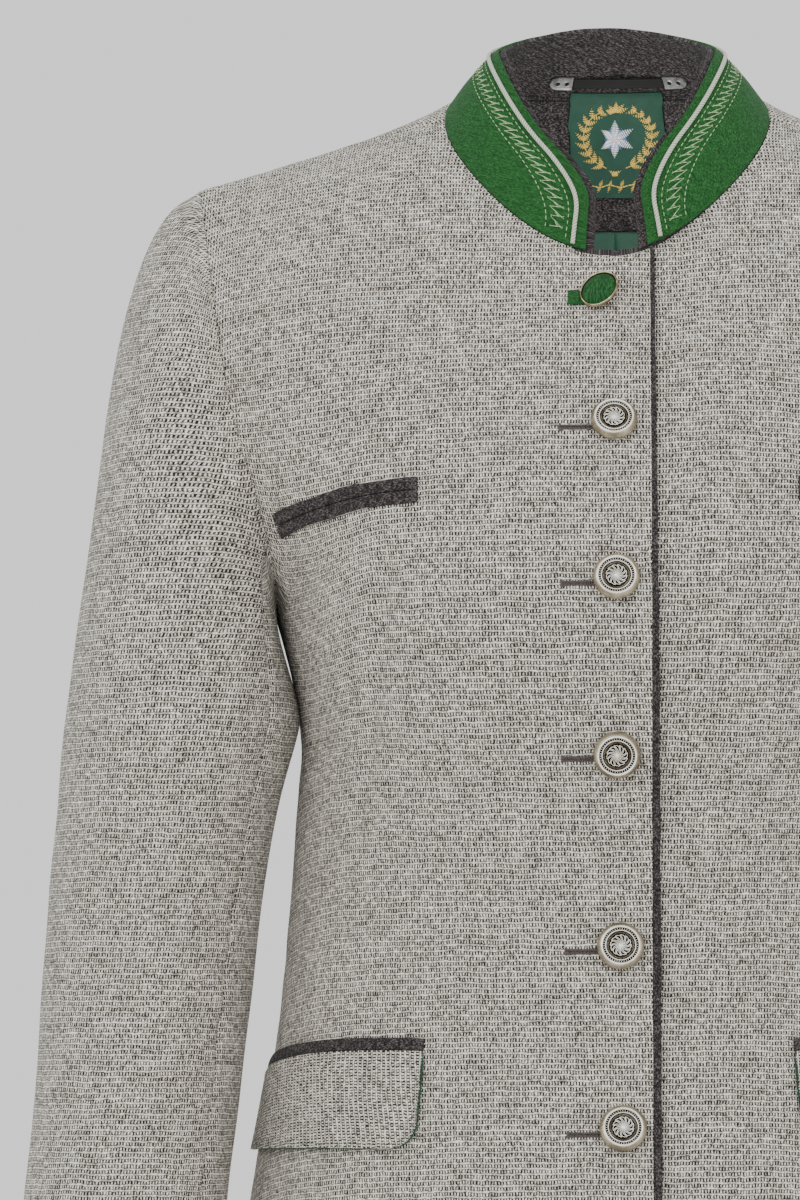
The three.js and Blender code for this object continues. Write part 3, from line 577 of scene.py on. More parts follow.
def round_arm(armhole):
    """Directions away from the middle of the armhole."""
    return unit((armhole - ARMHOLE_MIDDLE) * np.array([0.0, 1, 1]))


# ---------------------------------------------------------------- cloth and metal
class Shader:
    """A material's nodes, a call at a time; each call gives the node's first output."""

    def __init__(self, name, roughness=0.9, **surface):
        self.material = bpy.data.materials.new(name)
        self.material.use_nodes = True
        self.tree = self.material.node_tree
        self.surface = self.tree.nodes["Principled BSDF"]
        self.set(self.surface, {"Roughness": roughness, **surface})
        self.uv = self.node("ShaderNodeTexCoord").outputs["UV"]

    def set(self, node, inputs):
        for key, value in inputs.items():
            socket = node.inputs[key]
            if isinstance(value, bpy.types.NodeSocket):
                self.tree.links.new(value, socket)
            else:
                socket.default_value = value

    def node(self, kind, inputs=None, **settings):
        made = self.tree.nodes.new(kind)
        for key, value in settings.items():
            setattr(made, key, value)
        self.set(made, inputs or {})
        return made

    def math(self, operation, *values):
        return self.node("ShaderNodeMath", dict(enumerate(values)), operation=operation).outputs[0]

    def total(self, *parts):
        """The sum of values, each times its weight."""
        shares = [self.math("MULTIPLY", value, weight) for value, weight in parts]
        result = shares[0]
        for share in shares[1:]:
            result = self.math("ADD", result, share)
        return result

    def wave(self, value, pitch):
        return self.math("SINE", self.math("MULTIPLY", value, 2 * math.pi / pitch))

    def vector(self, operation, *values):
        return self.node("ShaderNodeVectorMath", dict(enumerate(values)), operation=operation).outputs[0]

    def wander(self, scale, detail, reach):
        """A vector that wanders up to half of reach each way."""
        around_zero = self.vector("SUBTRACT", self.noise(scale, detail, colour=True), (0.5, 0.5, 0.5))
        return self.vector("MULTIPLY", around_zero, reach)

    def axes(self, vector):
        return self.node("ShaderNodeSeparateXYZ", {0: vector}).outputs

    def noise(self, scale, detail=2.0, rough=0.5, vector=None, colour=False):
        made = self.node("ShaderNodeTexNoise", {"Vector": vector or self.uv, "Scale": scale,
                                                "Detail": detail, "Roughness": rough})
        return made.outputs["Color" if colour else "Fac"]

    def range(self, value, low, high, to_low=0.0, to_high=1.0, soft=True):
        kind = "SMOOTHSTEP" if soft else "LINEAR"
        limits = {"From Min": low, "From Max": high, "To Min": to_low, "To Max": to_high}
        return self.node("ShaderNodeMapRange", {"Value": value, **limits}, interpolation_type=kind).outputs[0]

    def ramp(self, value, stops):
        made = self.node("ShaderNodeValToRGB", {"Fac": value})
        elements = made.color_ramp.elements
        while len(elements) < len(stops):
            elements.new(0.5)
        for element, (place, colour) in zip(elements, stops):
            element.position = place
            element.color = (*linear(colour), 1)
        return made.outputs["Color"]

    def mix(self, share, first, second, how="MIX"):
        made = self.node("ShaderNodeMix", data_type="RGBA", blend_type=how)
        self.set(made, {0: share, 6: first, 7: second})
        return made.outputs[2]

    def colour(self, tone, *stops):
        self.set(self.surface, {"Base Color": self.ramp(tone, stops)})

    def bump(self, height, depth, strength):
        self.set(self.surface, {"Normal": self.node("ShaderNodeBump", {
            "Height": height, "Distance": depth, "Strength": strength}).outputs[0]})


def linear(colour):
    """A colour of 0 to 255 as Blender's linear values."""
    return tuple((c / 255 / 12.92) if c < 10.3 else ((c / 255 + 0.055) / 1.055) ** 2.4 for c in colour)


# Pitches of the weaves and threads and depths of their relief, in metres.
UPRIGHT_PITCH, LEVEL_PITCH, WOOL_RELIEF = 0.00142, 0.0026, 0.00035
FELT_RELIEF, WEAVE_RELIEF, THREAD_RELIEF, METAL_RELIEF = 0.0005, 0.0001, 0.00025, 0.00006
TWIST_PITCH, TWIST_ROUND = 0.0016, 2600     # a thread's twist along it, and per metre round it


def wool_cloth():
    """Grey hopsack: level cords 2.6 mm apart, with short upright threads and painted shadow in the holes
    between.
    """
    soft = {"Sheen Weight": 0.04, "Sheen Roughness": 0.5, "Specular IOR Level": 0.2}
    s = Shader("grey wool hopsack", 0.95, **soft)
    sway = s.wander(48, 2, (0.0016, 0.0022, 0))
    jitter = s.wander(420, 1, (0.0011, 0.0011, 0))
    place = s.vector("ADD", s.vector("ADD", s.uv, sway), jitter)
    axes = s.axes(place)
    level = s.wave(axes[1], LEVEL_PITCH)
    cord = s.range(level, 0.15, 0.95)
    upright = s.range(s.wave(axes[0], UPRIGHT_PITCH), -0.55, 0.6)
    between = s.range(level, 0.5, -0.35)
    thread = s.math("MULTIPLY", upright, between)
    raised = s.math("MAXIMUM", s.math("MULTIPLY", cord, 0.92), thread)
    long_place = s.vector("MULTIPLY", place, (1.0, 0.55, 1.0))
    speck = s.range(s.noise(640, 2, 0.6, long_place), 0.3, 0.7)
    fibre = s.range(s.noise(2100, 2, 0.6), 0.28, 0.72)
    cloud = s.range(s.noise(34, 3, 0.6), 0.3, 0.7)
    patch = s.range(s.noise(120, 2, 0.6), 0.3, 0.7)
    tone = s.total((raised, 0.5), (speck, 0.34), (fibre, 0.16), (s.math("SUBTRACT", patch, 0.5), 0.12))
    # The ramp's dark end, where neither cord nor upright thread is raised, is painted shadow in the holes of
    # the weave.
    colour = s.ramp(tone, [(0.14, (24, 23, 20)), (0.345, (78, 74, 68)), (0.52, (144, 139, 130)),
                           (0.695, (205, 200, 189)), (0.88, (250, 245, 234))])
    shade = s.range(cloud, 0, 1, 0.93, 1.05, False)
    grey = s.node("ShaderNodeCombineColor", {0: shade, 1: shade, 2: shade}).outputs[0]
    s.set(s.surface, {"Base Color": s.mix(1.0, colour, grey, "MULTIPLY")})
    s.bump(s.math("ADD", raised, s.math("MULTIPLY", fibre, 0.35)), WOOL_RELIEF, 0.8)
    return s.material


def felt(name, dark, middle, light):
    s = Shader(name, 0.95, **{"Sheen Weight": 0.04, "Sheen Roughness": 0.6, "Specular IOR Level": 0.15})
    stretch = s.vector("MULTIPLY", s.uv, (1.0, 0.6, 1.0))
    fibre = s.noise(1300, 3, 0.65, stretch)
    clump = s.noise(260, 3, 0.6)
    tone = s.total((s.range(fibre, 0.3, 0.7), 0.75), (s.range(clump, 0.3, 0.7), 0.25))
    s.colour(tone, (0.08, dark), (0.5, middle), (0.95, light))
    s.bump(s.math("ADD", fibre, s.math("MULTIPLY", clump, 0.8)), FELT_RELIEF, 0.6)
    return s.material


def woven(name, dark, light, pitch, roughness):
    """A fine plain cloth: lining, label, strap, and the painted shade in slits and holes."""
    s = Shader(name, roughness, **{"Specular IOR Level": 0.4})
    axes = s.axes(s.uv)
    weave = s.math("MULTIPLY", s.wave(axes[0], pitch), s.wave(axes[1], pitch))
    uneven = s.math("MULTIPLY", s.math("SUBTRACT", s.noise(160, 2), 0.5), 0.6)
    tone = s.math("ADD", s.range(weave, -1, 1, 0.2, 0.7), uneven)
    s.colour(tone, (0.15, dark), (0.85, light))
    s.bump(weave, WEAVE_RELIEF, 0.5)
    return s.material


def thread(name, dark, light):
    s = Shader(name, 0.75, **{"Sheen Weight": 0.15})
    axes = s.axes(s.uv)
    turn = s.total((axes[0], 2 * math.pi / TWIST_PITCH), (axes[1], TWIST_ROUND))
    twist = s.range(s.math("SINE", turn), -1, 1)
    s.colour(s.total((twist, 0.6), (s.noise(900, 2), 0.4)), (0.1, dark), (0.8, light))
    s.bump(twist, THREAD_RELIEF, 0.8)
    return s.material


def metal(name, dark, light, roughness, wear=180, metallic=1.0):
    s = Shader(name, roughness, Metallic=metallic)
    spot = s.node("ShaderNodeTexCoord").outputs["Object"]
    tone = s.range(s.noise(wear, 3, 0.6, spot), 0.3, 0.7)
    s.set(s.surface, {"Base Color": s.ramp(tone, [(0.1, dark), (0.8, light)]),
                      "Roughness": s.range(tone, 0, 1, roughness + 0.1, roughness - 0.06)})
    s.bump(s.noise(900, 2, 0.5, spot), METAL_RELIEF, 0.5)
    return s.material


WOOL_CLOTH = wool_cloth()
GREEN_FELT = felt("green felt", (16, 50, 22), (28, 78, 34), (52, 108, 56))
BUTTON_FELT = felt("green button felt", (14, 44, 20), (24, 72, 32), (48, 98, 52))
CHARCOAL_FELT = felt("charcoal felt", (16, 14, 15), (42, 38, 39), (104, 98, 97))
LINING_CLOTH = woven("teal lining", (27, 70, 52), (42, 92, 73), 0.0006, 0.4)
LABEL_CLOTH = woven("label weave", (8, 50, 36), (19, 75, 55), 0.0005, 0.55)
STRAP_CLOTH = woven("black band", (8, 7, 7), (24, 22, 22), 0.0007, 0.7)
CORD_THREAD = thread("cream cord", (132, 135, 120), (208, 211, 194))
PALE_THREAD = thread("pale green thread", (120, 156, 106), (196, 218, 172))
GREY_THREAD = thread("taupe thread", (48, 41, 40), (106, 94, 90))
DARK_THREAD = thread("dark thread", (60, 57, 54), (98, 94, 89))
GOLD_THREAD = thread("gold thread", (172, 136, 44), (246, 214, 104))
WHITE_THREAD = thread("white thread", (170, 178, 190), (238, 240, 244))
BLUE_THREAD = thread("blue thread", (30, 74, 140), (64, 118, 190))
# Painted shade: a near-black cloth put in the slits of the welts and buttonholes and in the rivets' holes,
# where there is only shade.
PAINTED_GAP_SHADE = woven("painted gap shade", (12, 11, 11), (26, 24, 23), 0.0008, 0.95)
STEEL = metal("brushed steel", (122, 122, 122), (196, 196, 194), 0.34, 180, 0.7)
PEWTER = metal("antique pewter", (126, 115, 96), (176, 165, 142), 0.36, 90, 0.85)
# Polished pewter for the rings, outer beads and hub: its near-white colour is partly painted highlight.
PEWTER_WITH_PAINTED_HIGHLIGHT = metal("polished pewter with painted highlight", (232, 226, 210), (254, 252, 246), 0.24, 180, 0.3)
OXIDE = metal("blackened pewter", (13, 12, 11), (40, 36, 31), 0.55)
BRASS = metal("antique brass", (128, 112, 84), (206, 192, 160), 0.26)


# ---------------------------------------------------------------- body panels
def near_curve(points, curve):
    """Distance of points from a curve, and the index of its nearest point."""
    flat = points.reshape(-1, 3)
    gap = np.linalg.norm(flat[:, None] - curve[None], axis=-1)
    index = np.argmin(gap, axis=1).reshape(points.shape[:-1])
    return gap.min(axis=1).reshape(points.shape[:-1]), index


def panel_rows(face):
    rows = [0.0]
    for k in range(HEM_ROW):
        probe = body_point(face * np.linspace(k, k + 1, 9)[:, None], np.linspace(0, 1, 9)[None])
        count = int(np.ceil(arc(probe, 0)[-1].max() / FINE))
        rows += list(np.linspace(k, k + 1, count + 1)[1:])
    return np.array(rows)


ACROSS = np.linspace(0, 1, 61)
EVEN_OUT = 34               # rounds of evening out a panel's points
EDGE_REACH = 14             # how far in the normals turn from those of the neck or the armhole
NECK_TURNS = {1: np.linspace(-16, 90, 90), -1: np.linspace(90, 180, 80)}
ALL_NECK_TURNS = np.linspace(-16, 180, 400)
PANEL_OUTSIDE = (60.0, -400.0, -200.0)  # a point outside a front; for a back, its y is turned round
CALM_REACH, NO_SEAM = 30, 99
# Where the fronts meet below the collar, the charcoal facing rolls over their neckline.
ROLL_GAP, ROLL_X, ROLL_MIDDLE, ROLL_HALF = 2, 15, -4, 17
ROLL_DROP, ROLL_RISE, ROLL_BULGE = 1.5, 1.1, 1.5
# Behind the collar the under front's facing reaches up to it, as far as where the fronts are level.
REACH_GAP, REACH_RISE, REACH_FADE = 4.6, 1.9, (32, 56)
RIM_BINDING, INNER_BINDING = 5.5, 5     # width of the charcoal binding round the neck


class Panel:
    """A front (face 1) or back (face -1) on the wearer's left: fine points, normals, flat cut."""

    def __init__(self, face, lap=0.0, sink=0.0, folds=(), pick=0):
        self.face, self.sink = face, sink
        self.rows = panel_rows(face)
        main = body_point(face * self.rows[:, None], ACROSS[None])
        self.laps = int(np.ceil(lap / FINE)) if lap else 0
        self.points = main
        if lap:
            self.points = np.concatenate([self.lap_points(main, lap), main], axis=1)
        self.keep = whole(self.points)
        self.keep[self.rows[:-1] < NECK_ROW - TINY, : self.laps] = False
        self.points = soften(self.points, EVEN_OUT, edge_points(self.keep))
        self.find_normals()
        if sink:
            depth = sink * (1 - smooth(self.points[..., 0], CENTRE_X + LAP + 4, LAP_FADE))
            self.points = self.points - self.normals * depth[..., None]
            self.find_normals()
        self.shape(folds, pick)
        self.find_normals()

    def lap_points(self, main, lap):
        """The part past the centre, which has the other side's shape."""
        laps = np.linspace(lap, 0, self.laps + 1)[:-1]
        top = neck_point(np.degrees(np.arcsin(laps / NECK_WIDE)))
        rise = top[:, 2] - neck_point(0.0)[2]
        fade = np.clip(1 - (self.rows - NECK_ROW) / 1.2, 0, 1)[:, None]
        place = body_place(1, laps[None] + 0 * fade, main[:, :1, 2] + rise * fade)
        points = body_point(*place)
        points[self.rows <= NECK_ROW + TINY] = top
        return mirrored(points)

    def find_normals(self):
        outside = np.array(PANEL_OUTSIDE) * [1, self.face, 1]
        normals = grid_normals(self.points, self.keep, outside)
        if self.face < 0:
            normals[:, 0, 0] = 0
            normals = unit(normals)
        turns = NECK_TURNS[self.face]
        self.neck_gap, near = near_curve(self.points, neck_point(turns))
        blend = 1 - smooth(self.neck_gap, 0, EDGE_REACH)[..., None]
        normals = normals * (1 - blend) + neck_normal(turns)[near] * blend
        armhole = body_point(self.face * np.linspace(0, ARM_ROW, 90), 1.0)
        self.arm_gap, near = near_curve(self.points, armhole)
        blend = 1 - smooth(self.arm_gap, 0, EDGE_REACH)[..., None]
        self.normals = unit(normals * (1 - blend) + round_arm(armhole)[near] * blend)

    def shape(self, folds, pick):
        """Seams, folds and the small unevenness of worn cloth."""
        along = arc(self.points, 1)
        side_gap = np.where(self.rows[:, None] >= ARM_ROW, along[:, -1:] - along, NO_SEAM)
        gaps = [side_gap, arc(self.points, 0), self.arm_gap]
        if self.face < 0:
            gaps.append(along)
        height = sum(seam(gap) for gap in gaps) + 0.5 * seam(self.neck_gap, 0.8, 1.6)
        nearest = np.minimum.reduce(gaps + [self.neck_gap])
        calm = smooth(nearest, 2, CALM_REACH)
        if self.face > 0:
            calm = calm * (0.25 + 0.75 * smooth(self.points[..., 0], 10, 60))
        else:
            calm = calm * smooth(self.neck_gap, 60, 110)
        soft = 1.3 * ripple(self.points, 95, pick) + 0.35 * ripple(self.points, 34, pick + 1)
        height = height + calm * soft + pucker(self.points, nearest, pick + 2)
        for line, depth, width, fade in folds:
            height = height + fold(self.points, line, depth, width, fade)
        self.points = self.points + self.normals * height[..., None]

    def lay_flat(self, tilt=0.0):
        self.uv = flatten(self.points, self.normals, self.keep, tilt, face=self.face)

    def at(self, x, z):
        """Point and normal where the panel passes x and z."""
        shape = np.broadcast(x, z).shape
        x, z = (np.broadcast_to(a, shape).ravel().astype(float) for a in (x, z))
        flat = self.points.reshape(-1, 3)
        used = ~np.isin(np.arange(len(flat)), self.outside_ids())
        gap = (flat[:, 0] - x[:, None]) ** 2 + (flat[:, 2] - z[:, None]) ** 2 + np.where(used, 0, FAR_OFF)
        near = np.argmin(gap, axis=1)
        columns = self.points.shape[1]
        i = np.clip(near // columns, 1, len(self.rows) - 2)
        j = np.clip(near % columns, 1, columns - 2)
        p = self.points[i, j]
        down = (self.points[i + 1, j] - self.points[i - 1, j]) / 2
        out = (self.points[i, j + 1] - self.points[i, j - 1]) / 2
        miss_x, miss_z = x - p[:, 0], z - p[:, 2]
        spread = down[:, 0] * out[:, 2] - down[:, 2] * out[:, 0]
        a = (miss_x * out[:, 2] - miss_z * out[:, 0]) / spread
        b = (down[:, 0] * miss_z - down[:, 2] * miss_x) / spread
        point = p + a[:, None] * down + b[:, None] * out
        bend = [(self.normals[i + 1, j] - self.normals[i - 1, j]) / 2,
                (self.normals[i, j + 1] - self.normals[i, j - 1]) / 2]
        normal = unit(self.normals[i, j] + a[:, None] * bend[0] + b[:, None] * bend[1])
        return point.reshape(shape + (3,)), normal.reshape(shape + (3,))

    def outside_ids(self):
        count = np.pad(self.keep, 1)
        touched = count[:-1, :-1] | count[1:, :-1] | count[:-1, 1:] | count[1:, 1:]
        return np.flatnonzero(~touched.ravel())

    def at_height(self, across, z):
        """Point and normal at a share across and a height, below the armhole's start."""
        shape = np.broadcast(across, z).shape
        across, z = (np.broadcast_to(a, shape).ravel().astype(float) for a in (across, z))
        column = np.clip(across, 0, 1) * (len(ACROSS) - 1) + self.laps
        low = np.minimum(np.floor(column).astype(int), self.points.shape[1] - 2)
        share = (column - low)[:, None]
        point, normal = np.zeros((len(z), 3)), np.zeros((len(z), 3))
        for k in range(len(z)):
            line = self.points[:, low[k]] * (1 - share[k]) + self.points[:, low[k] + 1] * share[k]
            out = self.normals[:, low[k]] * (1 - share[k]) + self.normals[:, low[k] + 1] * share[k]
            start = int(np.argmax(self.rows >= FLAT_ROW))
            for m in range(3):
                point[k, m] = np.interp(-z[k], -line[start:, 2], line[start:, m])
                normal[k, m] = np.interp(-z[k], -line[start:, 2], out[start:, m])
        return point.reshape(shape + (3,)), unit(normal).reshape(shape + (3,))

    def make(self, name, mirror):
        x = self.points[..., 0]
        outer, inner = self.points.copy(), self.points - self.normals * WOOL
        rolled = (self.neck_gap < ROLL_GAP) & (x < ROLL_X) & (self.face > 0)
        outer[..., 2] -= ROLL_DROP * rolled
        bulge = np.clip(1 - ((x - ROLL_MIDDLE) / ROLL_HALF) ** 2, 0, 1)
        inner[..., 2] += rolled * (ROLL_RISE + ROLL_BULGE * bulge)
        behind = (self.neck_gap < REACH_GAP) & (x >= ROLL_X) & (self.sink > 0)
        inner[..., 2] += behind * REACH_RISE * (1 - smooth(x, *REACH_FADE))
        build = Build()
        build.wall(outer, inner, self.uv, self.keep, (0, 1, 0))
        middle = build.points[0][build.faces[0]].mean(axis=1)
        gap, _ = near_curve(middle, neck_point(ALL_NECK_TURNS))
        past_outer = np.arange(len(gap)) >= self.keep.sum()
        rim = (gap < RIM_BINDING) & (build.slots[0] == 0) & past_outer
        bound = rim | ((gap < INNER_BINDING) & (build.slots[0] == 1))
        build.slots[0] = np.where(bound, 2, build.slots[0])
        build.piece(name, "wool", [WOOL_CLOTH, LINING_CLOTH, CHARCOAL_FELT], mirror, 0.55)


# Soft troughs (above zero) and ridges of the fronts: line in x and z, depth, width, fades.
WAIST_DART = [(106, -214), (107.5, -246), (109.5, -280), (114, -315), (119, -350), (123, -392)]
ARM_DART = [(181.5, -143), (176, -150), (171, -156.5), (166.5, -163), (163.2, -170)]


def front_folds(side):
    more = 1.0 if side == "right" else 0.8
    return [
        (WAIST_DART, 1.7 * more, 4.5, (0.12, 0.5)),
        (WAIST_DART, 1.5 * more, 17, (0.1, 0.6)),
        (ARM_DART, 0.9, 1.3, (0, 0.45)),
        (ARM_DART + [(156, -186)], 1.1, 7, (0, 0.7)),
        ([(147, -205), (129, -232), (117, -262)], -1.0 * more, 9, (0.3, 0.5)),
        ([(150, -300), (133, -320), (118, -352)], 1.1 * more, 10, (0.3, 0.6)),
        ([(146, -345), (128, -362), (104, -372)], 0.8, 9, (0.3, 0.6)),
        ([(172, -95), (150, -110), (128, -118)], 0.7, 12, (0.3, 0.6)),
        ([(96, -520), (104, -640), (112, -800), (115, -872)], 5.0 * more, 27, (0.7, 0)),
        ([(150, -560), (158, -680), (166, -872)], -4.0, 25, (0.7, 0)),
        ([(46, -600), (50, -700), (52, -872)], -2.6 * more, 24, (0.7, 0)),
    ]


def back_folds(side):
    more = 1.0 if side == "right" else 1.25
    return [
        ([(30, -300), (60, -318), (98, -322)], 1.3 * more, 9, (0.3, 0.4)),
        ([(22, -345), (58, -338), (92, -350)], 1.0 * more, 10, (0.4, 0.4)),
        ([(96, -150), (94, -230), (90, -318), (94, -400)], 1.3, 7, (0.35, 0.4)),
        ([(160, -190), (140, -205), (118, -210)], 1.2 * more, 11, (0.3, 0.6)),
        ([(48, -520), (58, -680), (64, -872)], 5.6 * more, 27, (0.7, 0)),
        ([(92, -560), (102, -700), (108, -872)], -4.0, 24, (0.7, 0)),
        ([(132, -540), (146, -700), (154, -872)], 4.6, 24, (0.7, 0)),
    ]


def front_tilt(panel):
    """The grain climbs towards the centre beside the waist dart, where the cloth is taken in."""
    x, z = panel.points[..., 0], panel.points[..., 2]
    line = np.array(WAIST_DART)
    dart_x = np.interp(-z, -line[:, 1], line[:, 0])
    angle = np.interp(-z, [120, 170, 205, 240, 290, 340, 420], [0, 0.1, 0.24, 0.36, 0.2, 0.08, 0])
    return angle * smooth(x, dart_x - 4, dart_x + 14)


# ---------------------------------------------------------------- sleeves
SLEEVE_FINE = 7             # fine columns to each of the 16 of the sleeve's table
SLEEVE_LEVELS = [62] + [11] * 6 + [14] * 2  # fine rows: the cap's, then to each ring below it
SLEEVE_OVERLAP = 40         # fine columns repeated at each end while the rings are evened out
SLEEVE_END = 0.02           # the sleeve's parts stop this short of each other
SLEEVE_SHIFT = 0.12         # the left sleeve's folds lie this much further round
SLEEVE_FOLDS = [            # column and level of each corner, depth and width in millimetres
    ([(2.6, 0.35), (3.4, 0.75), (3.7, 1.3)], 1.6, 9, (0.2, 0.6)),
    ([(13.6, 0.3), (12.9, 0.8), (12.6, 1.5)], 1.8, 10, (0.2, 0.6)),
    ([(0.8, 3.1), (2.2, 3.5), (4.0, 3.6)], 1.7, 7, (0.3, 0.5)),
    ([(0.4, 4.1), (2.4, 4.2), (4.4, 4.7)], 2.0, 8, (0.3, 0.5)),
    ([(1.0, 5.1), (2.9, 4.9), (4.3, 5.2)], 1.3, 8, (0.3, 0.5)),
    ([(14.9, 3.4), (13.4, 3.9), (11.6, 4.0)], 1.6, 9, (0.3, 0.5)),
    ([(15.2, 4.6), (13.6, 5.0), (12.2, 4.9)], 1.2, 9, (0.3, 0.5)),
    ([(5.4, 2.2), (6.4, 3.6), (6.6, 5.2)], -1.0, 13, (0.4, 0.5)),
]


def sleeve_grid(side):
    levels = [0.0]
    for start, count in enumerate(SLEEVE_LEVELS):
        levels += list(np.linspace(start, start + 1, count + 1)[1:])
    columns = np.arange(16 * SLEEVE_FINE) / SLEEVE_FINE
    points = sleeve_point(columns[None], np.array(levels)[:, None])
    more = SLEEVE_OVERLAP
    ring = np.concatenate([points[:, -more:], points, points[:, :more]], axis=1)
    ring = soften(ring, 26)[:, more:-more]
    wide = np.concatenate([ring[:, -1:], ring, ring[:, :1]], axis=1)
    normals = -grid_normals(wide, whole(wide), wide[wide.shape[0] // 2].mean(axis=0))[:, 1:-1]
    gap = arc(ring, 0)
    blend = (1 - smooth(gap, 0, EDGE_REACH))[..., None]
    normals = unit(normals * (1 - blend) + round_arm(ring[0])[None] * blend)
    around = arc(np.concatenate([ring, ring[:, :1]], axis=1), 1)[:, :-1]
    girth = around[:, -1:] + np.linalg.norm(ring[:, :1] - ring[:, -1:], axis=-1)
    height = seam(gap, 0.8)
    nearest = gap
    for column in (FRONT_SEAM, BACK_SEAM):
        away = np.abs(around - around[:, column * SLEEVE_FINE, None])
        away = np.minimum(away, girth - away)
        height = height + seam(away, 0.8)
        nearest = np.minimum(nearest, away)
    calm = smooth(nearest, 2, 26)
    pick = 3 if side == "right" else 6
    height = height + calm * (1.2 * ripple(ring, 80, pick) + 0.35 * ripple(ring, 30, pick + 1))
    height = height + pucker(ring, nearest, pick + 2)
    for line, depth, width, fade in SLEEVE_FOLDS:
        corner = np.array(line) + (0 if side == "right" else SLEEVE_SHIFT)
        path = sleeve_point(corner[:, 0], corner[:, 1])
        height = height + fold(ring, path, depth, width, fade, (0, 1, 2))
    return ring + normals * height[..., None], normals


def make_sleeve(side):
    ring, normals = sleeve_grid(side)
    rise = np.array([0, 0, 1.0]) - normals * normals[..., 2:]
    steep = smooth(np.linalg.norm(rise, axis=-1), 0.3, 0.85)[..., None]
    grain = unit(unit(rise) * steep - unit(np.gradient(ring, axis=0)) * (1.05 - steep))
    for part, start, end in (("upper", FRONT_SEAM, BACK_SEAM), ("under", BACK_SEAM, FRONT_SEAM + 16)):
        ids = np.arange(start * SLEEVE_FINE, end * SLEEVE_FINE + 1) % ring.shape[1]
        points, out = ring[:, ids].copy(), normals[:, ids]
        along = unit(np.gradient(points, axis=1))
        points[:, 0] += along[:, 0] * SLEEVE_END
        points[:, -1] -= along[:, -1] * SLEEVE_END
        uv = flatten(points, out, whole(points), grain=grain[:, ids])
        build = Build()
        build.wall(points, points - out * WOOL, uv, slots=(0, 1, 0))
        name = f"sleeve_{part}_{side}"
        build.piece(name, "wool", [WOOL_CLOTH, LINING_CLOTH], side == "right", 0.5)


# ---------------------------------------------------------------- panels and sleeves
PANELS = {}
for side in ("right", "left"):
    lap = CENTRE_X + LAP if side == "right" else LAP - CENTRE_X
    sink = LAP_DEPTH if side == "left" else 0
    panel = Panel(1, lap, sink, front_folds(side), 1 if side == "right" else 4)
    panel.lay_flat(front_tilt(panel))
    PANELS[f"front_{side}"] = panel
    panel = Panel(-1, folds=back_folds(side), pick=2 if side == "right" else 5)
    panel.lay_flat()
    PANELS[f"back_{side}"] = panel
    make_sleeve(side)
for name, panel in PANELS.items():
    panel.make(name, name.endswith("right"))


# ---------------------------------------------------------------- front edge and pockets
WELT_WIDE = 5.9             # width of a welt's lip
PIPING_TOP, PIPING_MORE = 1.8, 2.0      # the piping's width at the neck, and its gain further down
PIPING_SINK, PIPING_ROUND, PIPING_BACK = -0.25, -0.7, -1.7  # its top, the top's rounding, its back
CHEST_INNER, CHEST_OUTER, CHEST_Z, CHEST_BEND = 89.8, 158, -192.4, 0.0028
HIP_INNER, HIP_OUTER, HIP_MIDDLE, HIP_Z, HIP_BEND = 0.35, 0.985, 0.45, -450.8, 12
HIP_LEVEL = 8               # below the welt's top edge, where distance from the flap's end is taken
FLAP_Z, FLAP_LONG, FLAP_RISE, FLAP_CORNER = 6.3, 46, 9.5, 13
FLAP_INSET = 1.9            # of the row of stitches from the flap's rim


def lay_uv(points):
    """Flat coordinates, in metres, of a small grid of points."""
    return np.stack([arc(points, 1), -arc(points, 0)], -1) * MM


def simple_wall(points, normals, top, bottom, slots=(0, 0, 0), build=None):
    """A wall from top to bottom above the points, both numbers or grids, in millimetres."""
    build = build or Build()
    top, bottom = (np.broadcast_to(a, points.shape[:2])[..., None] for a in (top, bottom))
    build.wall(points + normals * top, points + normals * bottom, lay_uv(points), slots=slots)
    return build


def roll(share):
    """The rounded section of a welt's lip, from one edge to the other."""
    return np.sqrt(np.clip(1 - (2 * share - 1) ** 2 * 0.8, 0, 1))


def make_piping():
    panel = PANELS["front_right"]
    rows = panel.rows >= NECK_ROW - TINY
    edge, out = panel.points[rows, :1], panel.normals[rows, :1]
    down = (panel.rows[rows] - NECK_ROW) / (HEM_ROW - NECK_ROW)
    width = PIPING_TOP + PIPING_MORE * np.minimum(down * 1.6, 1)
    width = width + 0.16 * np.sin(down * 61) + 0.1 * np.sin(down * 137)
    share = np.array([0, 0.3, 0.6, 0.85, 1.0])
    points = edge - np.array([1.0, 0, 0]) * (SEAM + share[None, :, None] * width[:, None, None])
    top = PIPING_SINK + PIPING_ROUND * share**3
    build = simple_wall(points, np.repeat(out, len(share), 1), top[None], PIPING_BACK)
    build.piece("front_piping", "felt_charcoal", [CHARCOAL_FELT], True, 0.4)


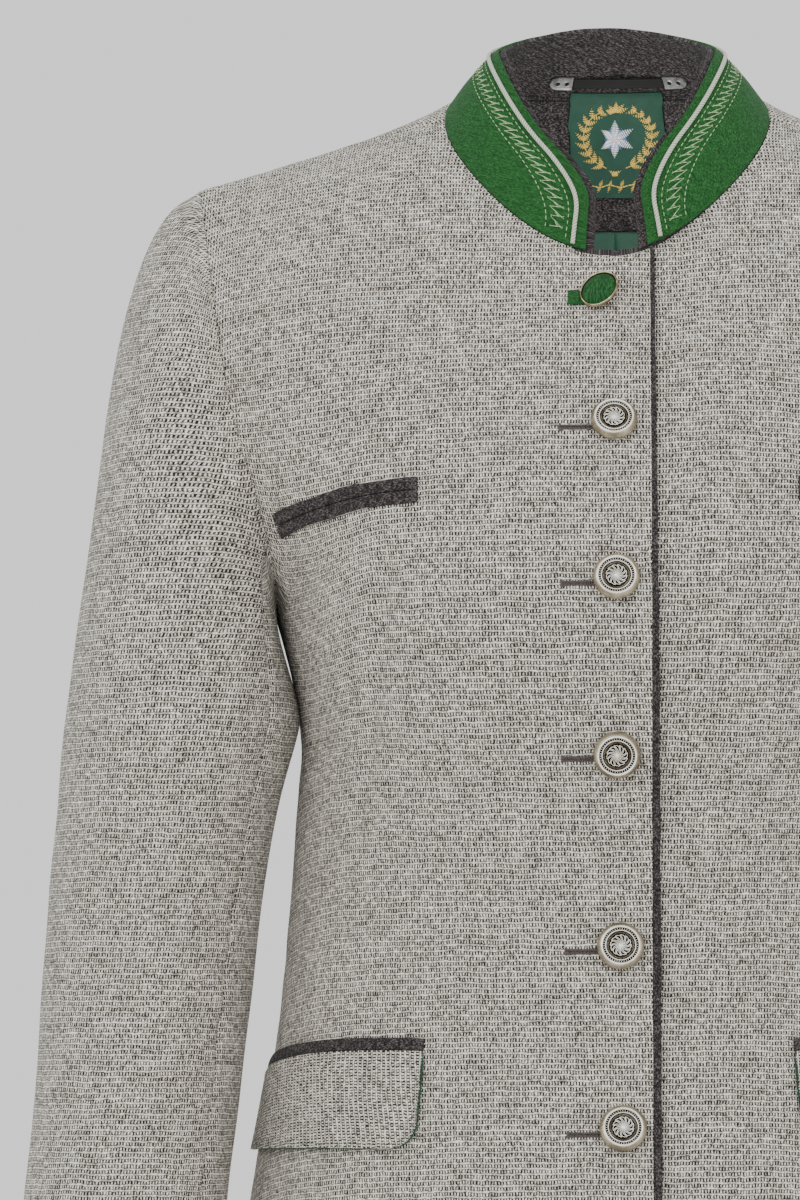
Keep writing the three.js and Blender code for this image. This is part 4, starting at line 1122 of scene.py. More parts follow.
def make_chest_welts(side):
    panel = PANELS[f"front_{side}"]
    x = np.linspace(CHEST_INNER, CHEST_OUTER, 60)
    z = CHEST_Z - CHEST_BEND * (x - CHEST_INNER) ** 2
    slope = -2 * CHEST_BEND * (x - CHEST_INNER)
    way_x, way_z = -slope / np.hypot(slope, 1), 1 / np.hypot(slope, 1)
    for part, way in (("upper", 1), ("lower", -1)):
        share = np.linspace(0, 1, 11)
        wave = 1 + 0.05 * np.sin(x * 0.21 + way)[:, None]
        away = way * (SEAM / 2 + share * WELT_WIDE) * wave
        points, out = panel.at(x[:, None] + way_x[:, None] * away, z[:, None] + way_z[:, None] * away)
        top = RELIEF + 0.75 + 0.95 * roll(share)[None] + 0.1 * ripple(points, 14, way + 3)
        build = simple_wall(points, out, top, RELIEF)
        # The lower lip holds a dark strip in the slit between the lips: painted shade.
        if part == "lower":
            points, out = panel.at(x[2:-2, None], z[2:-2, None] + np.array([[0.5, 0, -0.5]]))
            simple_wall(points, out, RELIEF + 0.25, RELIEF - 0.2, slots=(1, 1, 1), build=build)
        name = f"chest_welt_{part}_{side}"
        build.piece(name, "felt_charcoal", [CHARCOAL_FELT, PAINTED_GAP_SHADE], side == "right", 0.35)


def hip_z(across):
    return HIP_Z - HIP_BEND * ((across - HIP_MIDDLE) / 0.55) ** 2


def make_hip_pocket(side):
    panel = PANELS[f"front_{side}"]
    mirror = side == "right"
    across = np.linspace(HIP_INNER, HIP_OUTER, 90)[:, None]
    share = np.linspace(0, 1, 9)[None]
    points, out = panel.at_height(across, hip_z(across) - share * WELT_WIDE)
    top = RELIEF + 0.8 + 0.9 * roll(share) + 0.1 * ripple(points, 15, 2)
    build = simple_wall(points, out, top, RELIEF)
    build.piece(f"hip_welt_{side}", "felt_charcoal", [CHARCOAL_FELT], mirror, 0.35)

    # The flap: its columns stand closer together at the rounded corner.
    first = np.concatenate([[0], 0.055 * np.linspace(0.02, 1, 14) ** 1.6])
    across = np.concatenate([HIP_INNER + first, np.linspace(HIP_INNER + 0.063, HIP_OUTER, 76)])
    level = panel.at_height(across, hip_z(across) - HIP_LEVEL)[0]
    from_end = np.linalg.norm(level - level[0], axis=-1)
    across = across[:, None]
    corner = 1 - np.minimum(from_end / FLAP_CORNER, 1)
    full = FLAP_LONG - FLAP_RISE * (np.maximum(across - HIP_MIDDLE, 0) / 0.55) ** 2
    depth = full - FLAP_CORNER * (1 - np.sqrt(1 - corner[:, None] ** 2))
    share = np.linspace(0, 1, 24)[None]
    points, out = panel.at_height(across, hip_z(across) - FLAP_Z - share * depth)
    to_far = np.linalg.norm(points[-1:] - points, axis=-1)
    rim = np.minimum(np.minimum((1 - share) * depth, from_end[:, None]), to_far)
    lift = RELIEF + 0.35 + 0.9 * share**2 + 0.7 * np.exp(-rim / 5) + 0.25 * ripple(points, 30, 5)
    groove = -0.42 * np.exp(-(((rim - FLAP_INSET) / 0.8) ** 2)) * (share > 0.06)
    top = lift + 1.75 + groove - 0.35 * np.exp(-rim / 0.7)
    uv = lay_uv(points) + 0.1
    node = f"hip_flap_{side}"
    face = points + out * top[..., None]
    build = Build()
    build.wall(face, points + out * lift[..., None], uv, slots=(0, 1, 0))
    build.piece(node, "wool", [WOOL_CLOTH, LINING_CLOTH], mirror, 0.45)

    # Its lining shows past its rim.
    shown = np.where(share > 0.1, 0.3 + 0.35 * np.exp(-from_end[:, None] / 12), 0)
    away = unit(points - points[30:60].mean(axis=(0, 1))) * np.exp(-rim / 1.2)[..., None] * shown[..., None]
    under = points + away - out * np.sum(away * out, -1, keepdims=True)
    build = Build()
    build.wall(under + out * (lift - 0.05)[..., None], under + out * (lift - 0.5)[..., None], uv)
    build.piece(f"hip_flap_lining_{side}", "lining", [LINING_CLOTH], mirror, 0.15, node)

    # A row of stitches runs down its front end and along its lower edge.
    places = np.arange(len(from_end))
    column = np.interp(FLAP_INSET, from_end, places)
    below = np.linspace(column, places[-1], 200)
    at_column = np.concatenate([np.full(30, column), below])
    low = 1 - FLAP_INSET / np.interp(below, places, depth[:, 0])
    at_share = np.concatenate([np.linspace(0.1, 0.6, 30), low]) * (share.shape[1] - 1)
    line = grid_sample(face, at_column, at_share)
    hint = unit(grid_sample(out, at_column, at_share))
    stitch = Build()
    running_stitches(stitch, line, hint, 2.3, 1.3, 0.16)
    stitch.piece(f"hip_flap_stitches_{side}", "wool", [DARK_THREAD], mirror, node=node)


def grid_sample(grid, rows, columns):
    """Values of a grid between its points."""
    i = np.clip(np.floor(rows).astype(int), 0, grid.shape[0] - 2)
    j = np.clip(np.floor(columns).astype(int), 0, grid.shape[1] - 2)
    a, b = (rows - i)[:, None], (columns - j)[:, None]
    return (grid[i, j] * (1 - a) * (1 - b) + grid[i + 1, j] * a * (1 - b)
            + grid[i, j + 1] * (1 - a) * b + grid[i + 1, j + 1] * a * b)


def along_line(line, *fields):
    """A function of the length along a line of points, giving the place and each field there."""
    length = arc(line, 0)

    def at(where):
        return [np.stack([np.interp(where, length, f[:, m]) for m in range(3)], -1) for f in (line, *fields)]

    return length[-1], at


def running_stitches(build, line, normals, stitch, gap, radius):
    total, at = along_line(line, normals)
    count = max(int(total / (stitch + gap)), 1)
    starts = np.arange(count) * total / count + gap / 2 + rng.uniform(-0.12, 0.12, count)
    a, n = at(starts)
    b, _ = at(np.minimum(starts + stitch + rng.uniform(-0.15, 0.15, count), total))
    build.stitches(a, b, n, radius * rng.uniform(0.9, 1.12, count))


make_piping()
for side in ("right", "left"):
    make_chest_welts(side)
    make_hip_pocket(side)


# ---------------------------------------------------------------- collar
def end_steps(start, end, middle):
    """Places from start to end, close together at both ends."""
    near = np.array([0, 0.25, 0.6, 1.1, 1.8, 2.6, 3.6, 4.8, 6.2, 8, 10, 12.5, 15, 17.5, 20])
    return np.concatenate([start + near, np.linspace(start + 20, end - 20, middle)[1:-1], (end - near)[::-1]])


COLLAR_EDGE = 3             # how far the inner collar stands out at the front ends, in degrees
INNER_OVER = 0.065          # and by what share of its height it stands above the outer one
CORD_INSET, ROW_INSETS, BAND_INSETS = 5.5, (8.9, 18.3), (11.0, 16.2)    # from the collar's edge
INSET_TURN = 4.5 / 5.5      # degrees round the neck to a millimetre's inset
CORD_RADIUS, CORD_LIFT = 1.1, 0.95
UNITS = 84                  # crossed stitches round the band


def collar_uneven(points):
    return 0.28 * ripple(points, 26, 2) + 0.1 * ripple(points, 9, 4)


def make_collar():
    share = np.linspace(0, 1, 15)
    for name, finish, material, over, edge, lift in (
            ("collar_outer", "felt_green", GREEN_FELT, 0.0, 0, 0.0),
            ("collar_inner", "felt_charcoal", CHARCOAL_FELT, INNER_OVER, COLLAR_EDGE, FELT + SEAM)):
        turns = end_steps(COLLAR_ENDS[0] - edge, COLLAR_ENDS[1] + edge, 250)[:, None]
        height = collar_height(turns, -edge) * share[None] * (1 + over * share[None] ** 6)
        points = collar_point(turns, height)
        out = grid_normals(points, whole(points), np.array([0, 500.0, 0]))
        blend = (1 - smooth(share, 0, 0.3))[None, :, None]
        out = unit(out * (1 - blend) + neck_normal(turns) * blend)
        calm = smooth(share, 0, 0.2)[None]
        points = points + out * (collar_uneven(points) * calm - lift)[..., None]
        build = simple_wall(points, out, 0, -FELT)
        build.piece(name, finish, [material], False, 0.42)


def collar_line(inset, start, above=0.0):
    """A line inside the collar's outline: up one front end, round the neck, down the other."""
    turn_inset = inset * INSET_TURN
    slant = np.linalg.norm(neck_point(90.0) - collar_point(90.0, 1.0))
    drop = inset / slant
    turns = end_steps(COLLAR_ENDS[0] + turn_inset, COLLAR_ENDS[1] - turn_inset, 200)
    heights = collar_height(turns, turn_inset) - drop
    rise = np.linspace(start, heights[0], 16)[:-1]
    turns = np.concatenate([np.full(15, turns[0]), turns, np.full(15, turns[-1])])
    heights = np.concatenate([rise, heights, rise[::-1]])
    normals = collar_normal(turns, heights)
    points = collar_point(turns, heights)
    points = points + normals * (collar_uneven(points) + above)[:, None]
    for _ in range(3):
        points[1:-1] = (points[:-2] + 2 * points[1:-1] + points[2:]) / 4
    return points, normals


def make_cord():
    points, normals = collar_line(CORD_INSET, 0.02, CORD_LIFT)
    total, at = along_line(points, normals)
    place, out = at(np.linspace(0, total, 420))
    build = Build()
    build.tube(place, CORD_RADIUS, 14, out, squash=0.86)
    build.piece("collar_cord", "cord", [CORD_THREAD])


def make_embroidery():
    """Two rows of running stitches with a band of crossed stitches and knots between them."""
    build = Build()
    for inset, start in zip(ROW_INSETS, (0.05, 0.07)):
        running_stitches(build, *collar_line(inset, start), 2.2, 1.1, 0.21)
    inner_length, inner_at = along_line(*collar_line(BAND_INSETS[0], 0.08))
    outer_length, outer_at = along_line(collar_line(BAND_INSETS[1], 0.1)[0])
    for k in range(UNITS):
        spots = (np.array([0.1, 0.62, 0.46, 1.0]) + k + rng.uniform(-0.04, 0.04, 4)) / (UNITS + 0.2)
        high, out = inner_at(spots * inner_length)
        low = outer_at(spots * outer_length)[0]
        build.stitches([low[0], high[2]], [high[1], low[3]], out[[0, 2]], 0.19)
        middle = (high + low) / 2
        short = unit(low[1] - high[1])
        slant = unit(middle[2] - middle[1]) * 0.8
        start, end = middle[1] - short * 1.1, middle[1] + short * 1.1 + slant
        build.stitches([start], [end], out[[1]], 0.17, 0.6)
        knots = np.stack([low[0], high[1], high[2], low[3]])
        build.stitches(knots - unit(out) * 0.02 - short * 0.28, knots + short * 0.28, out, 0.33, 0.3)
    build.piece("collar_stitches", "cord", [PALE_THREAD], node="collar_outer")


make_collar()
make_cord()
make_embroidery()


# ---------------------------------------------------------------- inside the neck
INSIDE = WOOL + 1.1         # how far inside the back's surface the facing and strip lie
FACING_TURNS, FACING_LONG, FACING_SPREAD = (125, 235), 65, 0.35     # degrees, length, widening
STRIP_X, STRIP_Z, TUCK_X = (-46, 52), (-44.5, -100), 3.5
LABEL_FACE = INSIDE + FELT + 1.1 + SATIN
LABEL_MIDDLE, LABEL_HALF, LABEL_TOP, LABEL_BOTTOM = 5, 24.5, 26, -26
MOTIF_SCALE, MOTIF_MIDDLE = (1.27, 1.1), -0.8
BLOSSOM = (0, 3.5)
WREATH_WIDE, WREATH_TALL = 14.2, 13.4
HANGER_LIFT = 2 * FELT + SEAM + 1.1
HANGER_THICK, HANGER_LOW, HANGER_HIGH = 1.05, 0.18, 0.32    # its edges as shares of the collar
HANGER_LEFT, HANGER_RIGHT, HANGER_WIDE = 31.4, -18.9, 78
PLATE_LONG, PLATE_MIDDLE, PLATE_HALF, PLATE_STRAIGHT = 12.6, 0.25, 0.09, 0.62
RIVETS = (3.6, 8.6)         # from the plate's start
RIVET_RING = [(1.05, 0), (1.55, 0), (1.62, 0.2), (1.4, 0.42), (1.15, 0.38), (1.05, 0.2), (1.05, 0)]
RIVET_HOLE = [(0.05, 0.05), (1.12, 0.05), (1.12, 0.12), (0.05, 0.12)]


def on_back(x, z):
    """The back's surface without its folds, at x and z, and the direction out of the cloth."""
    row, across = body_place(-1, np.abs(x), z)
    d = 0.02
    point = body_point(-row, across)
    down = body_point(-(row + d), across) - body_point(-np.maximum(row - d, 0), across)
    out = body_point(-row, np.minimum(across + d, 1)) - body_point(-row, np.maximum(across - d, 0))
    normal = np.cross(down, out)
    side = np.where(x < 0, -1.0, 1.0)[..., None] * np.array([1, 0, 0]) + np.array([0, 1, 1])
    normal = unit(normal * np.sign(normal[..., 1:2]))
    return point * side, normal * side


def make_facing():
    turns = np.linspace(*FACING_TURNS, 72)[:, None]
    depth = np.linspace(0.02, 1, 26)[None]
    start = neck_point(turns + 0 * depth)
    points, out = on_back(start[..., 0] * (1 + FACING_SPREAD * depth), start[..., 2] - FACING_LONG * depth)
    points = soften(points, 12)
    for _ in range(12):
        out[1:-1, 1:-1] = (out[:-2, 1:-1] + out[2:, 1:-1] + out[1:-1, :-2] + out[1:-1, 2:]) / 4
    out = unit(out)
    build = simple_wall(points, out, -INSIDE, -INSIDE - FELT + 0.3 * ripple(points, 28, 6))
    build.piece("neck_facing", "felt_charcoal", [CHARCOAL_FELT], False, 0.4)


def make_lining_strip():
    x = np.linspace(*STRIP_X, 64)[:, None]
    z = np.linspace(*STRIP_Z, 22)[None]
    points, out = on_back(x + 0 * z, z + 0 * x)
    points = soften(points, 8)
    tuck = 0.7 * np.exp(-(((x - TUCK_X) / 1.1) ** 2))
    tuck = tuck - 0.5 * smooth(x, TUCK_X, TUCK_X + 2) * (1 - smooth(x, 10, 26))
    tuck = tuck + 0.35 * ripple(points, 30, 7)
    build = simple_wall(points, out, -INSIDE, -INSIDE - SATIN + tuck)
    build.piece("lining_strip", "lining", [LINING_CLOTH], False, 0.3)


def label_grid():
    """The label's face: on the facing below the neckline, on the inner collar above it, under the strap."""
    x = np.linspace(LABEL_MIDDLE - LABEL_HALF, LABEL_MIDDLE + LABEL_HALF, 40)[:, None]
    z = np.linspace(LABEL_TOP, LABEL_BOTTOM, 42)[None]
    turn = 180 - np.degrees(np.arcsin(x / NECK_WIDE))
    foot = neck_point(turn)[..., 2]
    slant = np.linalg.norm(collar_point(180.0, 1.0) - neck_point(180.0))
    below, out = on_back(x + 0 * z, np.minimum(z, foot - 3))
    rise = (z - foot) / slant
    above = collar_point(turn, rise) - collar_normal(turn, rise) * (2 * FELT + SEAM + 1.0)
    points = np.where((z > foot - 1)[..., None], above, below - out * LABEL_FACE)
    points = soften(points, 14)
    return points, grid_normals(points, whole(points), np.array([0, -500.0, 0]))


def label_at(x, z, above=0.0):
    """A point of the label's face and the direction out of it, towards the neck."""
    rows = (x - LABEL_MIDDLE + LABEL_HALF) / (2 * LABEL_HALF) * (LABEL[0].shape[0] - 1)
    columns = (LABEL_TOP - z) / (LABEL_TOP - LABEL_BOTTOM) * (LABEL[0].shape[1] - 1)
    points, out = (grid_sample(grid, rows, columns) for grid in LABEL)
    return points + out * above, unit(out)


def make_label():
    points, out = LABEL
    x = np.linspace(-LABEL_HALF, LABEL_HALF, points.shape[0])[:, None]
    z = np.linspace(LABEL_TOP, LABEL_BOTTOM, points.shape[1])[None]
    rim = np.minimum(LABEL_HALF - np.abs(x), np.minimum(LABEL_TOP - z, z - LABEL_BOTTOM))
    tuck = 0.3 * np.exp(-rim / 1.5) - 0.25 * np.exp(-(((rim - 1.6) / 0.7) ** 2))
    build = simple_wall(points, out, tuck, -0.8)
    build.piece("neck_label", "label", [LABEL_CLOTH], False, 0.25)


def make_motif():
    """The label's embroidery: a six-petalled blossom in a wreath, with a sprig above and a row below."""
    art = Build()

    def sew(pairs, radius, slot, rise=0.5):
        """Threads between pairs of (x, z) places measured from the label's middle."""
        pairs = np.array(pairs, float) * MOTIF_SCALE + [LABEL_MIDDLE, MOTIF_MIDDLE]
        spots = [label_at(pairs[:, k, 0], pairs[:, k, 1], 0.02) for k in (0, 1)]
        art.stitches(spots[0][0], spots[1][0], spots[0][1], radius, rise, slot, 5)

    def petal(middle, angle, length, width, slot, radius=0.38):
        """A leaf or petal of side-by-side threads, from middle outwards."""
        way = np.array([np.cos(angle), np.sin(angle)])
        over = np.array([-way[1], way[0]])
        count = max(int(length / (radius * 1.7)), 3)
        pairs = []
        for t in np.linspace(0.06, 0.97, count):
            half = width / 2 * np.sin(np.pi * t**0.8) + 0.12
            spine = np.array(middle) + way * length * t
            pairs.append([spine + over * half - way * half * 0.35, spine - over * half - way * half * 0.35])
        sew(pairs, radius, slot)

    def wreath(hand, turn):
        turn = np.radians(turn)
        return np.stack([hand * WREATH_WIDE * np.cos(turn), BLOSSOM[1] + WREATH_TALL * np.sin(turn)], -1)

    for k in range(6):
        petal(BLOSSOM, math.radians(90 + 60 * k), 8.2, 4.2, 1)
    for k in range(6):
        petal(BLOSSOM, math.radians(120 + 60 * k), 5.6, 1.5, 2, 0.3)
    for k in range(7):
        away = 0 if k == 6 else 1.15
        spot = np.array(BLOSSOM) + away * np.array([math.cos(k * 1.047), math.sin(k * 1.047)])
        sew([[spot - [0.3, 0], spot + [0.3, 0]]], 0.62, 0, 0.3)
    for hand in (-1, 1):
        stem = wreath(hand, np.linspace(-72, 66, 34))
        sew(list(zip(stem[:-1], stem[1:])), 0.36, 0, 0.2)
        for k, t in enumerate(np.linspace(-62, 58, 9)):
            tangent = math.atan2(math.cos(math.radians(t)), -hand * math.sin(math.radians(t)))
            for lean in (-0.75, 0.75):
                petal(wreath(hand, t), tangent + lean, 4.6 - 0.12 * k, 1.9, 0)
    for hand in (-1, 1):
        petal((hand * 1.0, -12.6), math.radians(90 + hand * 58), 4.2, 2.0, 0)
    for k in range(-2, 3):
        petal((0.5 * k, 15.0), math.radians(90 - 34 * k), 5.0 - 0.5 * abs(k), 2.1, 0)
    for step in range(13):
        x = -15 + 2.5 * step
        start, end = (-17.4 + 0.7 * math.sin(turn * 1.6) for turn in (step, step + 1))
        sew([[(x, start), (x + 2.5, end)]], 0.36, 0)
        if step % 2:
            petal((x, -17.3), math.radians(70), 2.9, 1.4, 0, 0.3)
            petal((x, -17.6), math.radians(-110), 2.9, 1.4, 0, 0.3)
    art.piece("label_motif", "label", [GOLD_THREAD, WHITE_THREAD, BLUE_THREAD], node="neck_label")


def hanger_place(x, height):
    turn = 180 - np.degrees(np.arcsin(x / HANGER_WIDE))
    return collar_point(turn, height), collar_normal(turn, height)


def make_hanger():
    height = np.linspace(HANGER_LOW, HANGER_HIGH, 7)
    ends = [hanger_place(np.full(len(height), x), height) for x in (HANGER_RIGHT, HANGER_LEFT)]
    t = np.linspace(0, 1, 40)[:, None, None]
    points, out = (a * (1 - t) + b * t for a, b in zip(*ends))
    lift = HANGER_LIFT + 0.3 * np.sin(np.pi * t[..., 0])
    edge = 0.09 * np.exp(-np.minimum(height - HANGER_LOW, HANGER_HIGH - height) / 0.012)[None]
    build = simple_wall(points, unit(out), -lift, -lift - HANGER_THICK - edge)
    build.piece("hanger_strap", "strap", [STRAP_CLOTH], False, 0.3)
    round_end = 1 - PLATE_STRAIGHT
    along = PLATE_STRAIGHT + round_end * np.sin(np.linspace(0, np.pi / 2, 14))[1:]
    along = np.concatenate([np.linspace(0, PLATE_STRAIGHT, 12), along])
    past = np.maximum(along - PLATE_STRAIGHT, 0) / round_end
    half = np.sqrt(np.clip(1 - past**2, 0.02, 1)) * PLATE_HALF
    share = np.linspace(-1, 1, 11)
    for name, start, way in (("left", HANGER_LEFT, 1), ("right", HANGER_RIGHT, -1)):
        x = start + way * (SEAM + along * PLATE_LONG)
        points, out = hanger_place(x[:, None] + 0 * share, PLATE_MIDDLE + half[:, None] * share)
        dish = 0.22 * np.exp(-(1 - np.abs(share)) / 0.12)[None]
        build = simple_wall(points, out, -HANGER_LIFT, -HANGER_LIFT - HANGER_THICK - dish)
        for at_x in RIVETS:
            spot, face = hanger_place(np.array(start + way * at_x), np.array(PLATE_MIDDLE))
            face = -face
            side = unit(np.cross(face, np.array([0, 0, 1.0])))
            spot = spot + face * (HANGER_LIFT + 1.02)
            frame_at = (spot, side, np.cross(face, side), face)
            build.turned(RIVET_RING, 28, frame_at, 0)
            # The dark disc in the rivet's hole is painted shade.
            build.turned(RIVET_HOLE, 20, frame_at, 1)
        build.piece(f"hanger_plate_{name}", "steel", [STEEL, PAINTED_GAP_SHADE], False, 0.2)


LABEL = label_grid()
make_facing()
make_lining_strip()
make_label()
make_motif()
make_hanger()


# ---------------------------------------------------------------- buttons and buttonholes
BUTTON_HANG, BUTTON_LIFT = math.radians(6), 0.25
PETALS, PETAL_START, PETAL_LONG, PETAL_TWIST, PETAL_HEIGHT = 12, 1.1, 3.8, 0.62, 4.85
TOP_BUTTON, TOP_BUTTON_TURN, TOP_BUTTON_LIFT = (-2.0, -96.6), math.radians(23), 1.5
TAB_X, TAB_Z, TAB_HALF = (-19, -8.2), -98.2, 3.6
SLIT_DROP, SLIT_START, SLIT_END = 2.2, 25.5, 4.0    # of a slit from its button's middle
STITCH_PITCH, LIP, STITCH_REACH, PURL = 0.62, 0.28, 1.35, 0.34
STITCH_RADIUS, BAR_HALF = 0.34, 1.5
# Sections of the buttons, as radius and height; AXIS is as near their middle as a ring can be.
AXIS = 0.0001
BUTTON_BODY = [(2.2, -1), (2.6, 1.5), (9.8, 1.9), (10.8, 2.3), (11.15, 2.8), (11.1, 3.3), (10.7, 4.0),
               (10.1, 4.85), (9.7, 5.25), (9.4, 5.35), (9.0, 5.2), (8.3, 4.0), (8.0, 3.0), (AXIS, 3.0)]
OUTER_RING = [(9.4, 5.2), (9.38, 5.7), (9.2, 6.02), (8.92, 6.1), (8.64, 5.98), (8.46, 5.7), (8.42, 5.2),
              (8.5, 4.7), (9.4, 5.2)]
HOLLOW = [(8.5, 4.4), (8.4, 5.02), (7.3, 5.02), (7.2, 4.9), (6.7, 4.72), (3.4, 4.6), (AXIS, 4.6)]
INNER_RING = [(7.32, 4.6), (7.3, 5.3), (7.15, 5.55), (6.95, 5.55), (6.82, 5.3), (6.8, 4.6), (7.32, 4.6)]
HUB = [(1.1, 4.6), (1.05, 5.0), (0.8, 5.2), (0.4, 5.28), (AXIS, 5.3)]
TOP_RIM = [(2.2, -2.6), (2.4, 1.4), (8.4, 1.7), (9.5, 2.1), (9.95, 2.7), (10.0, 3.4), (9.85, 4.0),
           (9.6, 4.3), (9.3, 4.25), (9.1, 3.95), (9.0, 3.3), (8.9, 2.2), (AXIS, 2.2)]
TOP_FELT = [(AXIS, 2.4), (8.4, 2.5), (8.7, 2.8), (8.72, 3.3), (8.4, 3.8), (7.4, 4.2), (5.4, 4.6),
            (2.9, 4.9), (AXIS, 5.0)]
# Places of the cast buttons, from the top.
BUTTONS = [(3, -160.8), (3.9, -236.2), (4, -317.9), (5.4, -408.2), (6.4, -493.8)]


def on_right(x, z):
    """Point and normal of the outer front at x and z."""
    point, normal = PANELS["front_right"].at(-np.asarray(x, float), z)
    return mirrored(point), mirrored(normal)


def button_frame(x, z):
    point, out = on_right(np.array(x), np.array(z))
    side = unit(np.cross(np.array([0, 0, 1.0]), out))
    return point + out * RELIEF, side, np.cross(out, side), out


def turned_towards(first, second, angle):
    """Two directions at right angles, turned so that the first moves towards the second."""
    c, s = math.cos(angle), math.sin(angle)
    return first * c + second * s, second * c - first * s


def make_rosette(name, x, z, spin):
    """A cast button: sloping side, a polished ring whose near-white colour is partly painted highlight,
    beads, a dark hollow and a swirl of loops.
    """
    place, side, up, out = button_frame(x, z)
    out, up = turned_towards(out, up, BUTTON_HANG)
    side, up = turned_towards(side, up, spin)
    place = place + out * BUTTON_LIFT
    at = (place, side, up, out)
    build = Build()
    # Slot 2, the rings, the outer beads and the hub, is polished pewter whose near-white colour is partly
    # painted highlight.
    for section, slot in ((BUTTON_BODY, 0), (OUTER_RING, 2), (HOLLOW, 1), (INNER_RING, 2)):
        build.turned(section, 72, at, slot)
    for count, near, far, high, fat, slot in ((44, 7.5, 8.25, 5.02, 0.13, 2), (60, 5.5, 6.6, 4.66, 0.12, 0)):
        turn = 2 * np.pi * (np.arange(count) + 0.5) / count
        spoke = np.cos(turn)[:, None] * side + np.sin(turn)[:, None] * up
        build.stitches(place + spoke * near + out * high, place + spoke * far + out * high,
                       np.broadcast_to(out, spoke.shape), fat, 0.4, slot, 6)
    t = np.linspace(0, 1, 15)
    radii = PETAL_START + PETAL_LONG * np.sin(t * np.pi / 2)
    width = 0.1 + 0.78 * np.sin(np.pi * np.clip(t, 0, 0.98) ** 1.7)
    for k in range(PETALS):
        turns = 2 * np.pi * k / PETALS + PETAL_TWIST * t**1.3
        sides = []
        for hand in (-1, 1):
            bend = turns + hand * width / radii
            sides.append((np.cos(bend)[:, None] * side + np.sin(bend)[:, None] * up) * radii[:, None])
        path = place + np.concatenate([sides[0], sides[1][::-1]]) + out * PETAL_HEIGHT
        path = path + out * (0.35 * np.sin(np.pi * np.linspace(0.1, 0.9, len(path))))[:, None]
        build.tube(path, 0.15, 8, np.broadcast_to(out, path.shape), 2, 1.5)
    build.turned(HUB, 24, at, 2)
    build.piece(name, "pewter", [PEWTER, OXIDE, PEWTER_WITH_PAINTED_HIGHLIGHT])


def make_top_button():
    place, side, up, out = button_frame(*TOP_BUTTON)
    side, out = turned_towards(side, out, np.sign(side[0]) * TOP_BUTTON_TURN)
    at = (place + out * TOP_BUTTON_LIFT, side, up, out)
    build = Build()
    build.turned(TOP_RIM, 72, at, 0)
    build.piece("top_button_rim", "pewter", [BRASS])
    build = Build()
    build.turned(TOP_FELT, 64, at, 0)
    build.piece("top_button_felt", "felt_green", [BUTTON_FELT])


def make_tab():
    x = np.linspace(*TAB_X, 16)[:, None]
    share = np.linspace(-1, 1, 9)[None]
    end = np.sqrt(np.clip(1 - ((TAB_X[0] + 1.4 - x) / 1.6).clip(0, 1) ** 2 * 0.6, 0.1, 1))
    points, out = on_right(x + 0 * share, TAB_Z + TAB_HALF * share * end)
    build = simple_wall(points, out, RELIEF + 1.0 - 0.15 * share**2, RELIEF)
    build.piece("buttonhole_tab", "felt_green", [BUTTON_FELT], False, 0.3)


def make_buttonhole(name, x, z):
    """A level slit below the button's middle, a dark strip of painted shade, overcast along both lips, with a
    bar at its end.
    """
    z = z - SLIT_DROP
    start, end = x - SLIT_START, x - SLIT_END
    points, out = on_right(np.linspace(start, end, 24)[:, None], z + np.array([[0.35, 0, -0.35]]))
    # The slit's dark strip is painted shade.
    build = simple_wall(points, out, 0.22, -0.35, slots=(1, 1, 1))
    spots = np.arange(start, end, STITCH_PITCH)
    for way in (1, -1):
        jitter = rng.uniform(-0.12, 0.12, (3, len(spots)))
        near, out = on_right(spots + jitter[0], z + way * LIP)
        far, _ = on_right(spots + jitter[1], z + way * (STITCH_REACH + jitter[2]))
        build.stitches(near + out * 0.1, far + out * 0.05, out, STITCH_RADIUS, 0.45)
        purl, out = on_right(spots + jitter[0], z + way * PURL)
        purl = purl + out * 0.3
        build.stitches(purl - [0.3, 0, 0], purl + [0.3, 0, 0], out, STITCH_RADIUS, 0.4)
    bar = z + np.linspace(-BAR_HALF, BAR_HALF, 7)
    first, out = on_right(start - 0.9, bar)
    second, _ = on_right(start + 0.4, bar)
    build.stitches(first, second, out, STITCH_RADIUS, 0.6)
    build.piece(name, "felt_charcoal", [GREY_THREAD, PAINTED_GAP_SHADE], node="front_right")


for k, (x, z) in enumerate(BUTTONS):
    make_rosette(f"button_{k + 1}", x, z, rng.uniform(0, 6))
    make_buttonhole(f"buttonhole_{k + 1}", x, z)
make_top_button()
make_tab()


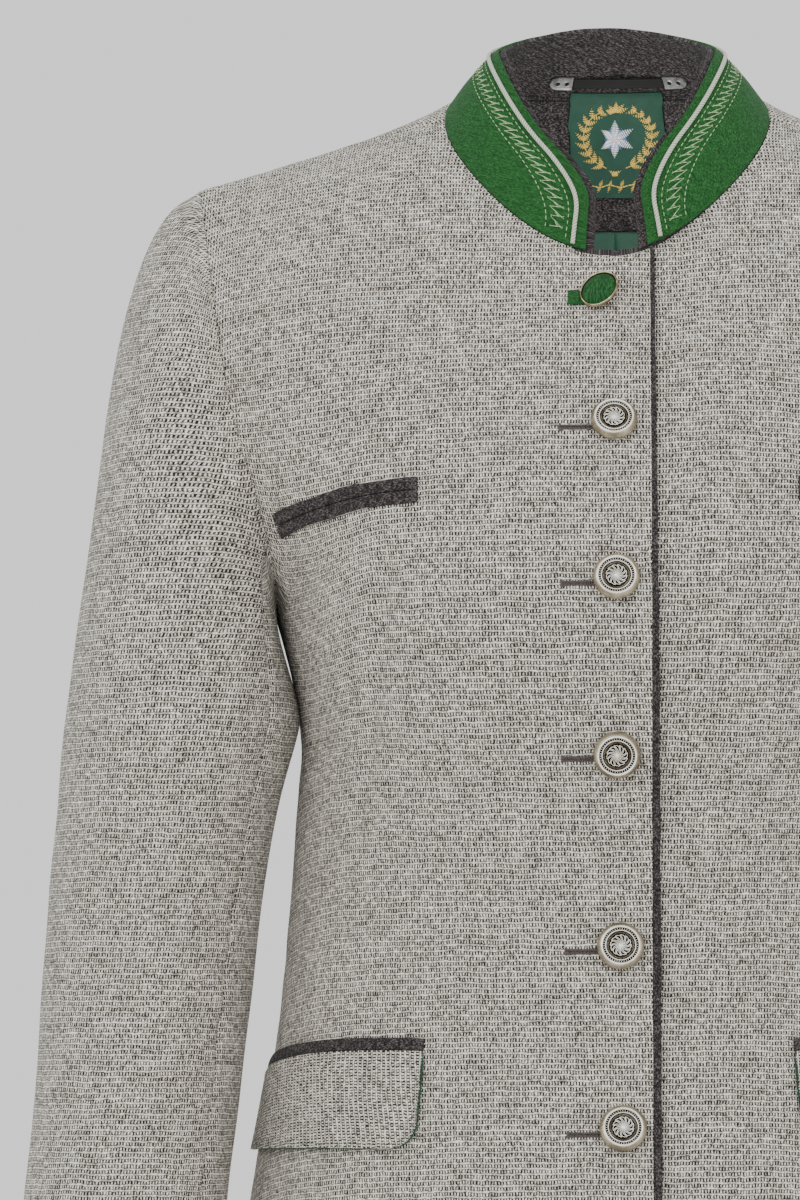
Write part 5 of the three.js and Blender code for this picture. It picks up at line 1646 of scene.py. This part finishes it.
# ---------------------------------------------------------------- floor, light and camera
# In metres and watts: place, what it points at, size, power.
LIGHTS = {
    "key": ((-1.35, -2.75, 1.0), (0, 0, -0.35), (1.6, 1.6), 39),
    "fill": ((1.8, -2.6, 0.2), (0, 0, -0.35), (1.8, 2.0), 17),
    "top": ((0.2, 0.4, 2.0), (0, 0, -0.3), (1.8, 1.8), 10.5),
    "behind": ((0.3, 2.6, 0.4), (0, 0, -0.3), (2.0, 1.6), 13),
    "inside the neck": ((0.004, -0.024, -0.03), (0.004, 0.09, -0.012), (0.05, 0.05), 0.13),
}
AMBIENT = 1.1
FLOOR_REACH, FLOOR_HEIGHT = 4.0, -0.93
CAMERA_PLACE, CAMERA_AIM, CAMERA_LENS = (0, -3.0, -0.45), (-0.1018, 0, -0.2371), 184.5


def turn_to(made, aim):
    """Points a light or camera at aim."""
    made.rotation_euler = (Vector(aim) - made.location).to_track_quat("-Z", "Y").to_euler()


def area_light(name, place, aim, size, power):
    light = bpy.data.lights.new(name, "AREA")
    light.shape = "RECTANGLE"
    light.size, light.size_y = size
    light.energy = power
    made = bpy.data.objects.new(name, light)
    bpy.context.collection.objects.link(made)
    made.location = place
    turn_to(made, aim)
    made.visible_camera = False


def floor():
    mesh = bpy.data.meshes.new("floor")
    reach, height = FLOOR_REACH, FLOOR_HEIGHT
    mesh.from_pydata([(-reach, -reach, height), (reach, -reach, height), (reach, reach, height),
                      (-reach, reach, height)], [], [(0, 1, 2, 3)])
    made = bpy.data.objects.new("floor", mesh)
    bpy.context.collection.objects.link(made)
    s = Shader("pale floor", 0.7)
    spot = s.node("ShaderNodeTexCoord").outputs["Object"]
    s.colour(s.noise(3, 2, 0.5, spot), (0.3, (232, 232, 230)), (0.7, (240, 240, 238)))
    mesh.materials.append(s.material)


floor()
for name, settings in LIGHTS.items():
    area_light(name, *settings)
world = bpy.data.worlds.new("studio")
world.use_nodes = True
ambient = world.node_tree.nodes["Background"].inputs
ambient["Color"].default_value = (1, 1, 1, 1)
ambient["Strength"].default_value = AMBIENT
bpy.context.scene.world = world

camera = bpy.data.cameras.new("camera")
camera.lens = CAMERA_LENS
camera.sensor_width = 36
camera.clip_end = 50
eye = bpy.data.objects.new("camera", camera)
bpy.context.collection.objects.link(eye)
eye.location = CAMERA_PLACE
turn_to(eye, CAMERA_AIM)
bpy.context.scene.camera = eye
